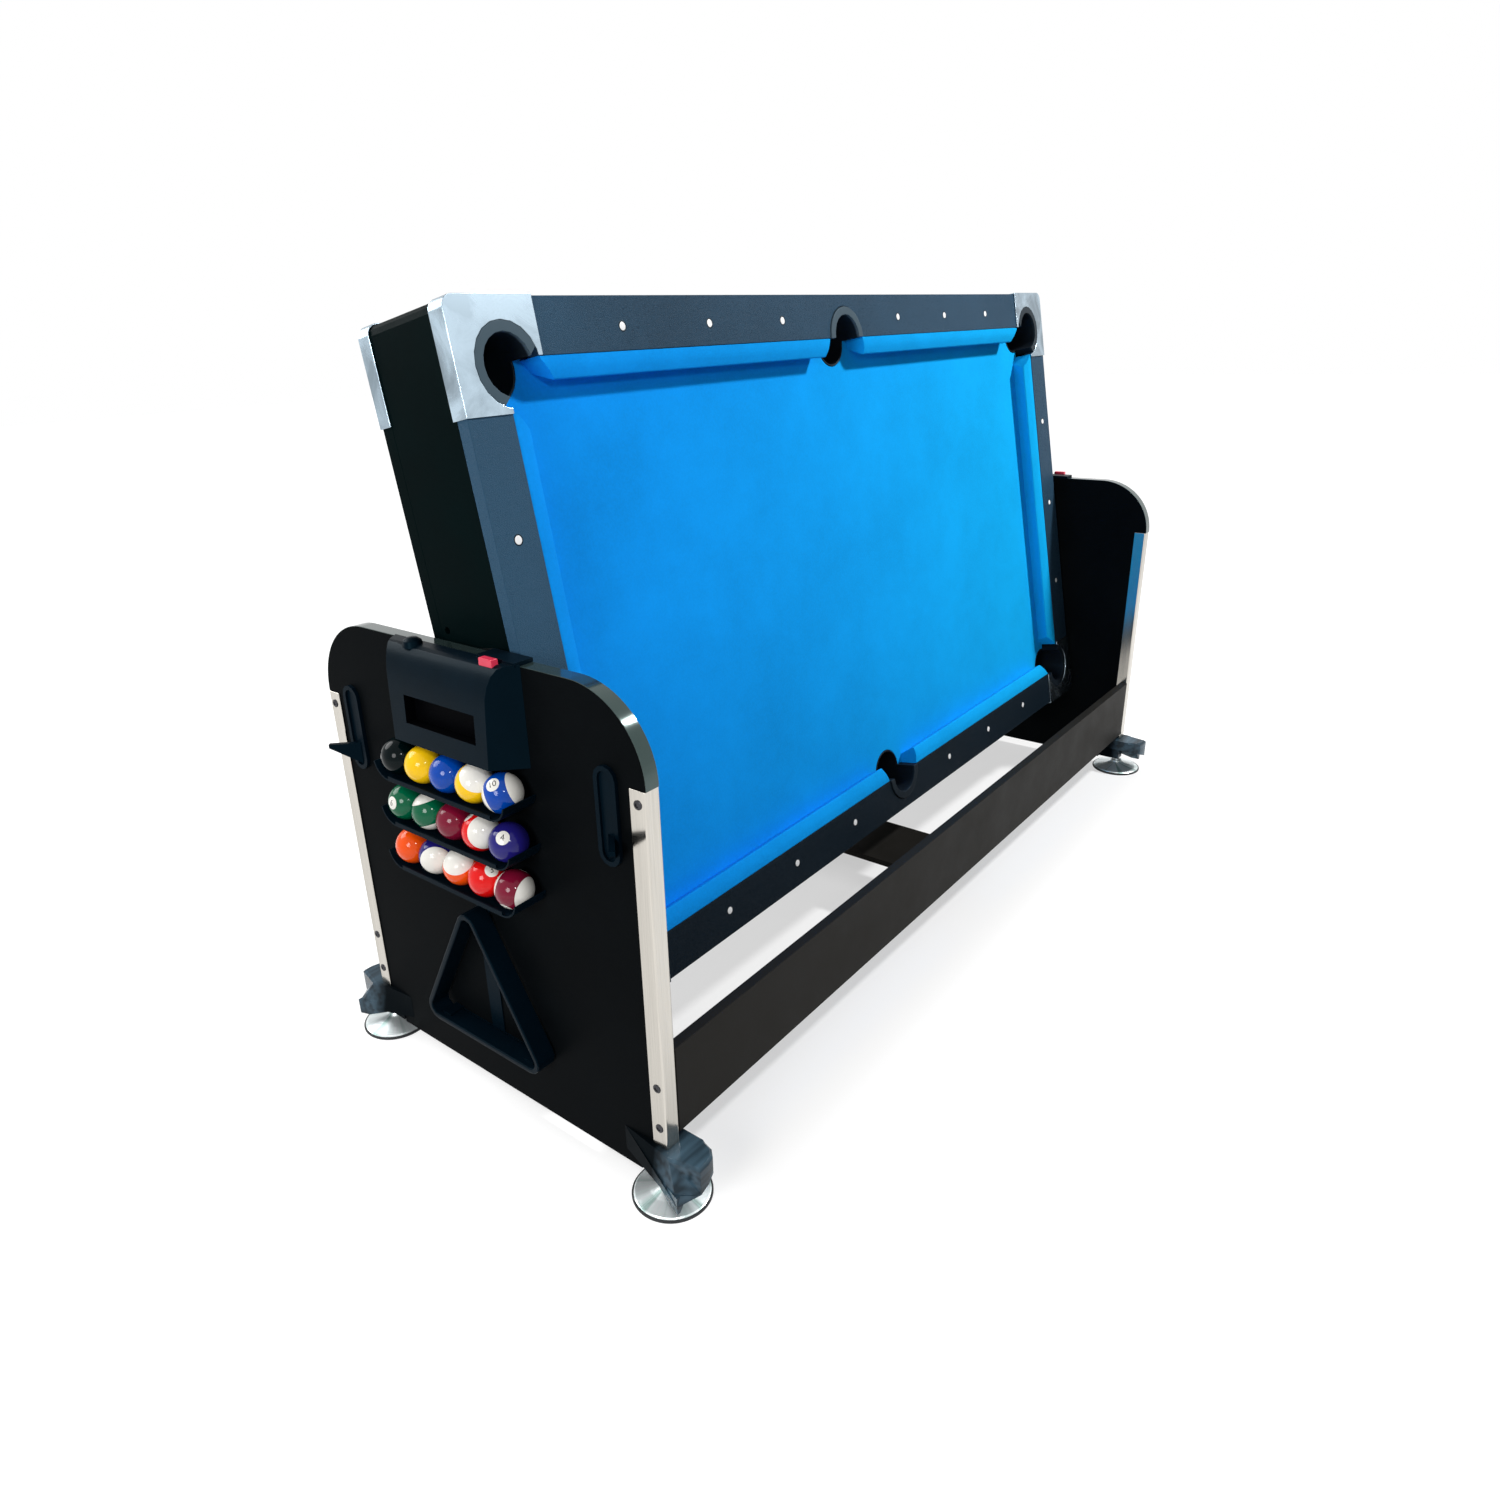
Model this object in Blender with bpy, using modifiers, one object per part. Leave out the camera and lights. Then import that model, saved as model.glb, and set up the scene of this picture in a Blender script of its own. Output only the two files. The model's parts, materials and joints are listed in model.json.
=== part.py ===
"""Rotating multi game table: pool on one face, air hockey on the other, carried between two end panels.

Metres, +Z up. X runs along the table, -Y is the side that the pool face looks to at rest.
The origin is on the floor at the centre of the overall box.
"""
import math

import bmesh
import bpy
from mathutils import Matrix, Vector

# Fits and cuts
clearance = 0.0003
overrun = 0.004
merge_distance = 0.00001
smooth_angle = math.radians(35)
bevel_profile_share = 0.5

# Stand
stand_length = 1.908
stand_depth = 0.690
end_rise = 0.075
panel_bottom = 0.025
panel_board = 0.023
extrusion_wall = 0.0019
extrusion_leg = 0.027
extrusion_corner = 0.003
panel_corner = 0.1236
corner_steps = 7

# Stretchers
board_bottom = 0.1045
board_height = 0.145
board_thickness = 0.018
cross_width = 0.165
cross_thickness = 0.012
swing_room = 0.058613

# Corner shoes and levelling feet
shoe_top = 0.090
shoe_grip = 0.055
shoe_floor = 0.030
shoe_tongue_floor = 0.046
shoe_tongue_reach = 0.060
shoe_inner_reach = 0.020
shoe_outer_reach = 0.030
shoe_tip_reach = 0.040
shoe_ridge_reach = 0.010
shoe_tongue_lift = 0.018
shoe_tip_floor = 0.021
shoe_bite = 0.004
shoe_edge = 0.004
foot_radius = 0.060
foot_rim = 0.006
foot_cone = 0.018
foot_neck = 0.017
foot_nut = 0.011
foot_nut_height = 0.007
foot_stem = 0.006
foot_stem_length = 0.072
foot_inset_y = 0.008
foot_drop = 0.012
foot_steps = 24

# Pivot
rest_tilt = math.radians(10.2)
axle_radius = 0.016
axle_fit = 0.0006
axle_length = 0.048
bush_wall = 0.0054
bush_nose = 0.006
bush_root = 0.004
pivot_steps = 20

# Swinging top, in its own frame: u along the table, v across it, n out of the pool face
top_gap = 0.008
top_half_width = 0.5111
pool_face = 0.1104
hockey_face = 0.0757
top_corner = 0.015
case_wall = 0.018
rail_width = 0.0762
rail_thickness = 0.022
bed_depth = 0.040
bed_thickness = 0.012
cushion_width = 0.039
cushion_shoulder = 0.002
cushion_nose_height = 0.030
cushion_nose_band = 0.005
cushion_undercut = 0.014
cushion_corner_cut = math.radians(42)
cushion_side_cut = math.radians(20)
pocket_inset = 0.085
side_pocket_inset = 0.0765
collar_radius = 0.0555
pocket_mouth = 0.041
cup_wall = 0.0035
cup_floor = 0.004
collar_rise = 0.0025
collar_opening = 0.022
pocket_steps = 20
hockey_rail_width = 0.050
hockey_rail_thickness = 0.0227
goal_width = 0.280
goal_height = 0.013
goal_depth = 0.034

# Corner caps
pool_cap_arm = 0.147
hockey_cap_arm = 0.132
cap_wall = 0.0020
cap_plate = 0.0025
pool_cap_flange = 0.030
hockey_cap_flange = 0.025
cap_ledge = 0.004
tie_inset = 0.029
tie_radius = 0.004
tie_steps = 8

# Pivot plates and locks
plate_thickness = 0.003
plate_half_width = 0.068
plate_half_height = 0.068
plate_corner = 0.012
lock_y = 0.095
lock_rise = 0.040
bolt_radius = 0.005
bolt_fit = 0.0006
bolt_length = 0.0562
bolt_gap = 0.002
bolt_travel = 0.009
bolt_steps = 12
striker_fit = 0.0016
striker_room = 0.002
tab_length = 0.026
tab_width = 0.011
tab_rise = 0.008
tab_edge = 0.0015

# Hub housings
housing_reach = 0.045
housing_base_half = 0.135
housing_face_half = 0.104
housing_base_drop = 0.068
housing_face_drop = 0.063
housing_face_rise = 0.018
housing_face_lean = 0.004
housing_rise = 0.078
housing_top_reach = 0.018
housing_shoulder_steps = 5
saddle_rise = 0.003
saddle_front = 0.132
saddle_rear = 0.055
saddle_reach = 0.007
mouth_width = 0.154
mouth_centre = 0.005
mouth_rise = 0.010
mouth_height = 0.042
mouth_depth = 0.020
axle_room = 0.020
knob_y = 0.072
knob_x = 0.016
knob_radius = 0.015
knob_height = 0.010
knob_root = 0.004

# Balls and their trays
ball_radius = 0.0286
ball_pitch = 0.0578
ball_row_y = 0.007
top_row_gap = 0.0029
row_pitch = 0.0745
balls_in_row = 5
ball_segments = 16
ball_rings = 8
tray_wall = 0.0025
tray_front = 0.0245
tray_lip = 0.005
tray_end_angle = math.radians(78)
tray_end_steps = 5

holder_back = 0.002
holder_spine = 0.030

# Ball rack and its clips
rack_side = 0.300
rack_drop = 0.3215
rack_centre_y = 0.012
rack_wall = 0.009
rack_depth = 0.035
rack_corner = 0.022
clip_spread = 0.100
clip_width = 0.020
clip_wall = 0.003
clip_depth = 0.028

# Cue hooks on the left end panel
hook_inset = 0.066
hook_plate_width = 0.038
hook_plate_height = 0.142
hook_plate_drop = 0.098
hook_plate_thickness = 0.006
hook_recess_margin = 0.007
hook_recess = 0.004
hook_blade_drop = 0.026
hook_blade_root = 0.036
hook_blade_tip = 0.006
hook_blade_length = 0.050
hook_blade_wall = 0.008
hook_angle = math.radians(45)

# Sizes that follow from the ones above
pivot_height = board_bottom + cross_thickness + swing_room + math.hypot(top_half_width, pool_face)
end_top = pivot_height + end_rise
shoe_inner_y = stand_depth / 2 - shoe_grip
housing_base_bottom = pivot_height - housing_base_drop
housing_face_bottom = pivot_height - housing_face_drop
housing_face_top = pivot_height + housing_face_rise
housing_top = pivot_height + housing_rise
saddle_top = housing_top + saddle_rise
mouth_top = pivot_height + mouth_rise
top_row_height = housing_base_bottom - top_row_gap - ball_radius
hook_y = stand_depth / 2 - hook_inset
hook_plate_centre = pivot_height - hook_plate_drop
hook_blade_top = hook_plate_centre - hook_blade_drop
extrusion_width = panel_board + 2 * (extrusion_wall + clearance)
end_centre_x = stand_length / 2 - extrusion_width / 2
panel_outer_x = end_centre_x + panel_board / 2
panel_inner_x = end_centre_x - panel_board / 2
end_inner_x = end_centre_x - extrusion_width / 2
extrusion_bottom = shoe_top + clearance
extrusion_top = end_top - panel_corner
panel_half_depth = stand_depth / 2 - extrusion_wall - clearance
foot_y = stand_depth / 2 - foot_inset_y
top_half_length = end_inner_x - top_gap
case_top = pool_face - rail_thickness - clearance
bed_top = pool_face - bed_depth
hockey_bed_face = hockey_face - hockey_rail_thickness - clearance
pocket_u = top_half_length - pocket_inset
pocket_v = top_half_width - pocket_inset
side_pocket_v = top_half_width - side_pocket_inset
bite_radius = (collar_radius + clearance) / math.cos(math.pi / pocket_steps)
cup_bottom = bed_top - 2 * ball_radius - 3 * cup_floor
field_half_u = top_half_length - rail_width
field_half_v = top_half_width - rail_width
ball_x = panel_outer_x + clearance + holder_back + clearance + ball_radius
ball_reach = ball_x + tray_front + tray_wall
side_reach = end_centre_x + foot_radius
origin_shift = (max(ball_reach, ball_x + ball_radius) - side_reach) / 2

# Colours as linear red, green, blue, with roughness and metallic
finishes = {
    "black_board": ((0.012, 0.013, 0.013), 0.45, 0.0),
    "aluminium": ((0.72, 0.69, 0.66), 0.35, 1.0),
    "stretcher": ((0.035, 0.033, 0.032), 0.6, 0.0),
    "shoe_plastic": ((0.022, 0.032, 0.042), 0.35, 0.0),
    "chrome": ((0.80, 0.82, 0.84), 0.12, 1.0),
    "housing_plastic": ((0.012, 0.018, 0.022), 0.35, 0.0),
    "black_plastic": ((0.008, 0.009, 0.010), 0.4, 0.0),
    "lock_red": ((0.75, 0.04, 0.08), 0.35, 0.0),
    "black_steel": ((0.007, 0.011, 0.012), 0.4, 0.0),
    "case_black": ((0.006, 0.012, 0.013), 0.4, 0.0),
    "rail_vinyl": ((0.035, 0.045, 0.055), 0.55, 0.0),
    "blue_cloth": ((0.005, 0.20, 0.78), 0.9, 0.0),
    "pocket_rubber": ((0.018, 0.022, 0.028), 0.5, 0.0),
    "cap_silver": ((0.58, 0.63, 0.68), 0.3, 0.9),
    "hockey_white": ((0.75, 0.78, 0.80), 0.2, 0.0),
    "hockey_rail": ((0.02, 0.02, 0.022), 0.4, 0.0),
}
ball_colours = {
    1: (0.95, 0.55, 0.01), 2: (0.01, 0.05, 0.45), 3: (0.80, 0.01, 0.01), 4: (0.03, 0.02, 0.18),
    5: (1.00, 0.10, 0.01), 6: (0.00, 0.14, 0.07), 7: (0.17, 0.01, 0.03), 8: (0.01, 0.01, 0.01),
}
# Ball numbers in each tray, from the rear end to the front end
ball_rows = ((8, 1, 2, 9, 10), (6, 14, 7, 11, 4), (5, 12, 13, 3, 15))
rack_base = top_row_height - (len(ball_rows) - 1) * row_pitch - rack_drop


# Scene, materials and nodes
def clear_scene():
    for item in list(bpy.data.objects):
        bpy.data.objects.remove(item, do_unlink=True)


def make_material(name, colour, roughness, metallic):
    material = bpy.data.materials.new(name)
    material.use_nodes = True
    shader = material.node_tree.nodes["Principled BSDF"]
    shader.inputs["Base Color"].default_value = (*colour, 1.0)
    shader.inputs["Roughness"].default_value = roughness
    shader.inputs["Metallic"].default_value = metallic
    material.diffuse_color = (*colour, 1.0)
    return material


def make_empty(name, location, rotation=(0, 0, 0), parent=None):
    empty = bpy.data.objects.new(name, None)
    collection.objects.link(empty)
    empty.location = location
    empty.rotation_euler = rotation
    empty.parent = parent
    return empty


def node(name, mesh, finish, parent, location=(0, 0, 0)):
    """Add one named sub-part with its own material."""
    obj = bpy.data.objects.new(name, mesh)
    mesh.name = name
    collection.objects.link(obj)
    obj.parent = parent
    obj.location = location
    colour, roughness, metallic = finish
    mesh.materials.clear()
    mesh.materials.append(make_material(name, colour, roughness, metallic))
    mesh.shade_smooth()
    mesh.set_sharp_from_angle(angle=smooth_angle)
    return obj


# Mesh tools
def evaluated_mesh(obj):
    bpy.context.view_layer.update()
    depsgraph = bpy.context.evaluated_depsgraph_get()
    mesh = bpy.data.meshes.new_from_object(obj.evaluated_get(depsgraph))
    return welded(mesh)


def welded(mesh):
    bm = bmesh.new()
    bm.from_mesh(mesh)
    bmesh.ops.remove_doubles(bm, verts=bm.verts, dist=merge_distance)
    bm.to_mesh(mesh)
    bm.free()
    return mesh


def temporary(data):
    obj = bpy.data.objects.new("temporary", data)
    bpy.context.scene.collection.objects.link(obj)
    return obj


def prism(outlines, thickness):
    """Extrude flat outlines, the first one with the others as holes, evenly about the XY plane."""
    curve = bpy.data.curves.new("outline", "CURVE")
    curve.dimensions = "2D"
    curve.fill_mode = "BOTH"
    curve.extrude = thickness / 2
    for outline in outlines:
        spline = curve.splines.new("POLY")
        spline.points.add(len(outline) - 1)
        for point, (x, y) in zip(spline.points, outline):
            point.co = (x, y, 0, 1)
        spline.use_cyclic_u = True
    obj = temporary(curve)
    mesh = evaluated_mesh(obj)
    bpy.data.objects.remove(obj)
    return mesh


def moved(mesh, matrix):
    """Place a mesh, turning its faces back out when the matrix mirrors it."""
    mesh.transform(matrix)
    if matrix.determinant() < 0:
        mesh.flip_normals()
    return mesh


def placed(mesh, x=0, y=0, z=0):
    return moved(mesh, Matrix.Translation((x, y, z)))


def mirrored(mesh, x=1, y=1, z=1):
    return moved(mesh.copy(), Matrix.Diagonal((x, y, z, 1)))


# Outline X and Y become Y and Z, and the thickness runs along X.
across_x = Matrix(((0, 0, 1, 0), (1, 0, 0, 0), (0, 1, 0, 0), (0, 0, 0, 1)))


def upright(outlines, thickness, x=0):
    """A prism whose outline is drawn in Y and Z."""
    return placed(moved(prism(outlines, thickness), across_x), x=x)


def box(low, high):
    bm = bmesh.new()
    bmesh.ops.create_cube(bm, size=1)
    size = Vector(high) - Vector(low)
    middle = (Vector(high) + Vector(low)) / 2
    bmesh.ops.transform(bm, matrix=Matrix.Translation(middle) @ Matrix.Diagonal((*size, 1)), verts=bm.verts)
    return finished(bm)


def finished(bm):
    mesh = bpy.data.meshes.new("piece")
    bm.to_mesh(mesh)
    bm.free()
    return mesh


def rod(radius, length, steps):
    """A cylinder along X, centred on the origin."""
    bm = bmesh.new()
    bmesh.ops.create_cone(bm, cap_ends=True, segments=steps, radius1=radius, radius2=radius, depth=length)
    bmesh.ops.rotate(bm, verts=bm.verts, matrix=Matrix.Rotation(math.pi / 2, 3, "Y"))
    return finished(bm)


def post(radius, low, high, steps):
    """A cylinder along Z between two heights."""
    bm = bmesh.new()
    bmesh.ops.create_cone(bm, cap_ends=True, segments=steps, radius1=radius, radius2=radius, depth=high - low)
    bmesh.ops.translate(bm, verts=bm.verts, vec=(0, 0, (high + low) / 2))
    return finished(bm)


def turned(profile, steps, ring=False):
    """Turn a profile of radius and height about Z. It runs down its outer side."""
    bm = bmesh.new()
    verts = [bm.verts.new((radius, 0, height)) for radius, height in profile]
    for first, second in zip(verts, verts[1:]):
        bm.edges.new((first, second))
    if ring:
        bm.edges.new((verts[-1], verts[0]))
    obj = temporary(finished(bm))
    screw = obj.modifiers.new("turn", "SCREW")
    screw.steps = steps
    screw.render_steps = steps
    screw.use_merge_vertices = True
    screw.merge_threshold = merge_distance
    mesh = evaluated_mesh(obj)
    bpy.data.objects.remove(obj)
    return mesh


def boolean(mesh, other, operation):
    first = temporary(mesh)
    second = temporary(other)
    modifier = first.modifiers.new("cut", "BOOLEAN")
    modifier.operation = operation
    modifier.solver = "EXACT"
    modifier.object = second
    result = evaluated_mesh(first)
    bpy.data.objects.remove(first)
    bpy.data.objects.remove(second)
    return result


def cut(mesh, *cutters):
    for cutter in cutters:
        mesh = boolean(mesh, cutter, "DIFFERENCE")
    return mesh


def joined(mesh, *others):
    for other in others:
        mesh = boolean(mesh, other, "UNION")
    return mesh


def bevelled(mesh, width, segments, wanted):
    """Round the edges for which wanted(edge) is true."""
    bm = bmesh.new()
    bm.from_mesh(mesh)
    edges = [edge for edge in bm.edges if edge.calc_face_angle(0) > smooth_angle and wanted(edge)]
    bmesh.ops.bevel(bm, geom=edges, offset=width, segments=segments, profile=bevel_profile_share, affect="EDGES",
                    clamp_overlap=True)
    return finished(bm)


def sliced(mesh, point, normal):
    """Cut away what lies in front of a plane and close the cut."""
    bm = bmesh.new()
    bm.from_mesh(mesh)
    geometry = bm.verts[:] + bm.edges[:] + bm.faces[:]
    cut_edges = bmesh.ops.bisect_plane(bm, geom=geometry, plane_co=point, plane_no=normal, clear_outer=True)
    edges = [item for item in cut_edges["geom_cut"] if isinstance(item, bmesh.types.BMEdge)]
    bmesh.ops.contextual_create(bm, geom=edges)
    bmesh.ops.recalc_face_normals(bm, faces=bm.faces)
    return finished(bm)


# Outline tools
def arc(centre, radius, start, end, steps):
    """Points of an arc, both ends included. Angles are in radians."""
    angles = [start + (end - start) * step / steps for step in range(steps + 1)]
    return [(centre[0] + radius * math.cos(a), centre[1] + radius * math.sin(a)) for a in angles]


def circle(centre, radius, steps):
    return arc(centre, radius, 0, 2 * math.pi, steps)[:-1]


def rounded(corners, radius, steps):
    """Round every corner of a polygon."""
    points = []
    for index, corner in enumerate(corners):
        here = Vector(corner)
        back = (Vector(corners[index - 1]) - here).normalized()
        ahead = (Vector(corners[(index + 1) % len(corners)]) - here).normalized()
        half = back.angle(ahead) / 2
        middle = here + (back + ahead).normalized() * radius / math.sin(half)
        start = here + back * radius / math.tan(half) - middle
        turn = start.angle_signed(here + ahead * radius / math.tan(half) - middle)
        for step in range(steps + 1):
            swing = Matrix.Rotation(-turn * step / steps, 2)
            points.append(tuple(middle + swing @ start))
    return points


def rectangle(half_x, half_y):
    return [(half_x, half_y), (-half_x, half_y), (-half_x, -half_y), (half_x, -half_y)]


def rounded_rectangle(half_x, half_y, radius, steps):
    return rounded(rectangle(half_x, half_y), radius, steps)


# End panels and upright extrusions
def panel_outline():
    """The board's outline, notched at its lower corners for the shoes and stepped in under the extrusions."""
    notch_y = shoe_inner_y - clearance
    edge_y = stand_depth / 2
    points = [(notch_y, panel_bottom), (notch_y, extrusion_bottom), (panel_half_depth, extrusion_bottom),
              (panel_half_depth, extrusion_top + clearance), (edge_y, extrusion_top + clearance)]
    points += arc((edge_y - panel_corner, extrusion_top), panel_corner, 0, math.pi / 2, corner_steps)[1:]
    points += [(-y, z) for y, z in reversed(points)]
    return points


def panel_holes():
    lock = circle((-lock_y, pivot_height + lock_rise), bolt_radius + bolt_fit, bolt_steps)
    shaft = circle((0, pivot_height), axle_radius + axle_fit + bush_wall + clearance, pivot_steps)
    return [lock, shaft]


def make_end(side, name):
    """One end: the board and two extrusions on its edges."""
    board = upright([panel_outline()] + panel_holes(), panel_board, side * end_centre_x)
    node("end_panel_" + name, board, finishes["black_board"], stand)
    for face, face_name in ((-1, "front"), (1, "rear")):
        node("edge_extrusion_%s_%s" % (face_name, name), extrusion(side, face), finishes["aluminium"], stand)


def extrusion(side, face):
    """A channel over the panel's edge, with rounded outer corners."""
    half = extrusion_width / 2
    back = extrusion_leg
    wall = extrusion_wall
    corner_a = arc((-half + extrusion_corner, extrusion_corner), extrusion_corner, math.pi, 1.5 * math.pi, 3)
    corner_b = arc((half - extrusion_corner, extrusion_corner), extrusion_corner, 1.5 * math.pi, 2 * math.pi, 3)
    outline = [(-half, back)] + corner_a + corner_b + [(half, back), (half - wall, back), (half - wall, wall),
                                                       (-half + wall, wall), (-half + wall, back)]
    mesh = prism([outline], extrusion_top - extrusion_bottom)
    mesh = placed(mesh, y=-stand_depth / 2, z=(extrusion_top + extrusion_bottom) / 2)
    mesh = mirrored(mesh, x=side, y=-face)
    return placed(mesh, x=side * end_centre_x)


# Stretchers
def make_stretchers():
    half = end_inner_x - clearance
    top = board_bottom + board_height
    for face, name in ((-1, "front"), (1, "rear")):
        edges = sorted((face * stand_depth / 2, face * (stand_depth / 2 - board_thickness)))
        node(name + "_board", box((-half, edges[0], board_bottom), (half, edges[1], top)),
             finishes["stretcher"], stand)
    reach = stand_depth / 2 - board_thickness - clearance
    rail = box((-cross_width / 2, -reach, board_bottom), (cross_width / 2, reach, board_bottom + cross_thickness))
    node("cross_rail", rail, finishes["black_board"], stand)


# Corner shoes and levelling feet
def shoe():
    """The shoe of the corner at +X and +Y. Its tongue carries the foot and its tip points down and out."""
    inner_x = end_inner_x - shoe_inner_reach
    face_x = panel_outer_x + clearance
    outer_x = stand_length / 2
    edge_y = stand_depth / 2
    tip = (outer_x + shoe_outer_reach, edge_y + shoe_tip_reach)
    ridge = (outer_x + shoe_ridge_reach, edge_y + shoe_ridge_reach)
    reach = edge_y + shoe_tongue_reach
    tongue = rounded([(inner_x, shoe_inner_y), (inner_x, reach), (outer_x, reach)], shoe_tongue_reach / 2, 3)[4:8]
    outline = [(inner_x, shoe_inner_y), (face_x, shoe_inner_y), (face_x, shoe_inner_y - shoe_outer_reach), tip,
               (outer_x, reach)] + list(reversed(tongue))
    body = placed(prism([outline], shoe_top - shoe_tongue_floor), z=(shoe_top + shoe_tongue_floor) / 2)
    body = drawn_in(body, shoe_top, tip, ridge)
    for vertex in body.vertices:
        if vertex.co.z < shoe_top - shoe_bite:
            vertex.co.z += shoe_tongue_lift * (outer_x - vertex.co.x) / (outer_x - inner_x)
    body = bevelled(body, shoe_edge, 1, lambda edge: on_top_outside(edge, face_x, edge_y))
    core = box((end_inner_x, shoe_inner_y, shoe_floor), (outer_x, edge_y, shoe_top - shoe_edge))
    point_top = shoe_tongue_floor + shoe_bite
    point_outline = [(face_x, shoe_inner_y), tip, (outer_x, reach - shoe_tongue_reach / 3), (outer_x, edge_y)]
    point = placed(prism([point_outline], point_top - shoe_tip_floor), z=(point_top + shoe_tip_floor) / 2)
    for corner in (point_outline[0], point_outline[2], point_outline[3]):
        below = (tip[0] - (tip[0] - corner[0]) / 5, tip[1] - (tip[1] - corner[1]) / 5)
        point = drawn_in(point, shoe_tip_floor, corner, below)
    mesh = joined(body, core, point)
    bore = post(foot_stem + clearance, shoe_tip_floor - overrun, bore_top(), foot_steps)
    return cut(mesh, placed(bore, x=end_centre_x, y=foot_y))


def drawn_in(mesh, height, start, end):
    """Move the corner that stands over start, at the given height, to stand over end."""
    for vertex in mesh.vertices:
        if (vertex.co - Vector((*start, height))).length < shoe_bite / 2:
            vertex.co = (*end, height)
    return mesh


def on_top_outside(edge, face_x, edge_y):
    """Edges of the shoe's top face that lie outside the panel and its extrusion."""
    high = all(abs(vert.co.z - shoe_top) < merge_distance for vert in edge.verts)
    outside = all(vert.co.x > face_x + merge_distance or vert.co.y > edge_y for vert in edge.verts)
    return high and outside


def bore_top():
    return foot_rim + foot_cone + foot_stem_length + 2 * clearance - shoe_tongue_floor / 2


def levelling_foot():
    """Disc, cone, nut and stem, turned about the foot's own axis, standing on z = 0."""
    nut_low = foot_rim + foot_cone
    stem_top = bore_top() - foot_stem
    profile = [
        (0, stem_top), (foot_stem, stem_top), (foot_stem, nut_low), (foot_nut, nut_low),
        (foot_nut, nut_low - foot_nut_height), (foot_neck, nut_low - foot_nut_height - clearance),
        (foot_radius - foot_rim / 2, foot_rim), (foot_radius, foot_rim / 2), (foot_radius, 0), (0, 0),
    ]
    return turned(profile, foot_steps)


def make_corners():
    shoe_mesh = shoe()
    foot_mesh = levelling_foot()
    for side, side_name in ((-1, "left"), (1, "right")):
        for face, face_name in ((-1, "front"), (1, "rear")):
            label = "%s_%s" % (face_name, side_name)
            node("corner_shoe_" + label, mirrored(shoe_mesh, x=side, y=face), finishes["shoe_plastic"], stand)
            node("levelling_foot_" + label, foot_mesh.copy(), finishes["chrome"], stand,
                 (side * end_centre_x, face * foot_y, 0))


# Hub housings with their bushes, and lock latches
def pivot_bush():
    """The tube through the right-hand panel that the axle turns in."""
    bore = axle_radius + axle_fit
    outer = bore + bush_wall
    low = panel_inner_x - bush_nose
    high = panel_outer_x + clearance + bush_root
    profile = [(outer, high), (outer, low), (bore, low), (bore, high)]
    mesh = moved(turned(profile, pivot_steps, ring=True), Matrix.Rotation(math.pi / 2, 4, "Y"))
    return placed(mesh, z=pivot_height)


def axle_end_x():
    return panel_inner_x - bush_nose - clearance + axle_length


def housing():
    """The moulded housing of the right-hand end, over the axle's end and the lock, with the axle's bush."""
    base_x = panel_outer_x + clearance
    face_x = stand_length / 2 + housing_reach
    lean_x = face_x - housing_face_lean
    shoulder = lean_x - base_x - housing_top_reach
    rise = housing_top - housing_face_top
    profile = [(base_x, housing_base_bottom), (face_x, housing_face_bottom)]
    profile += [(base_x + housing_top_reach + shoulder * x, housing_face_top + rise * z)
                for x, z in arc((0, 0), 1, 0, math.pi / 2, housing_shoulder_steps)]
    profile += [(base_x, housing_top)]
    block = moved(prism([profile], 2 * housing_base_half), Matrix.Rotation(math.pi / 2, 4, "X"))
    for vertex in block.vertices:
        share = (vertex.co.x - base_x) / (face_x - base_x)
        half = housing_base_half + (housing_face_half - housing_base_half) * share
        vertex.co.y = math.copysign(half, vertex.co.y)
    saddle = box((end_inner_x, -saddle_front, end_top + clearance), (base_x + saddle_reach, -saddle_rear, saddle_top))
    knob_profile = [(0, knob_height), (knob_radius / 2, knob_height - knob_root / 4),
                    (knob_radius - knob_root / 2, knob_height / 2), (knob_radius, -knob_root), (0, -knob_root)]
    knob = placed(turned(knob_profile, pivot_steps), x=base_x + knob_x, y=knob_y, z=housing_top)
    mesh = joined(block, saddle, knob)

    mouth = box((face_x - mouth_depth, -mouth_centre - mouth_width / 2, mouth_top - mouth_height),
                (face_x + overrun, -mouth_centre + mouth_width / 2, mouth_top))
    room_depth = axle_end_x() - base_x + 2 * clearance
    room = placed(rod(axle_room, room_depth + overrun, pivot_steps), x=base_x + (room_depth - overrun) / 2,
                  z=pivot_height)
    channel_end = bolt_end_x() + clearance
    channel = placed(rod(bolt_radius + bolt_fit, channel_end - base_x + overrun, bolt_steps),
                     x=(channel_end + base_x - overrun) / 2, y=-lock_y, z=pivot_height + lock_rise)
    slot = box((tab_x() - tab_width / 2 - bolt_travel - clearance, -lock_y - tab_length / 2 - clearance,
                pivot_height + lock_rise - bolt_radius / 2 - clearance),
               (tab_x() + tab_width / 2 + clearance, -lock_y + tab_length / 2 + clearance,
                housing_top + overrun))
    return joined(cut(mesh, mouth, room, channel, slot), pivot_bush())


def bolt_nose_x():
    """The drawn-back bolt's nose stays clear of the turning case's end."""
    return top_half_length + bolt_gap


def bolt_end_x():
    return bolt_nose_x() + bolt_length


def tab_x():
    """The latch's thumb tab stands on the outer end of its bolt."""
    return bolt_end_x() - tab_width / 2 - clearance


def lock_latch():
    """A lock bolt with its thumb tab, for the right-hand end, on the bolt's own axis."""
    bolt = rod(bolt_radius, bolt_length, bolt_steps)
    top = housing_top + tab_rise - pivot_height - lock_rise
    offset = tab_x() - bolt_nose_x() - bolt_length / 2
    tab = box((offset - tab_width / 2, -tab_length / 2, -bolt_radius / 2),
              (offset + tab_width / 2, tab_length / 2, top))
    tab = bevelled(tab, tab_edge, 2, lambda edge: all(vert.co.z > top - merge_distance for vert in edge.verts))
    return joined(bolt, tab)


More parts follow.
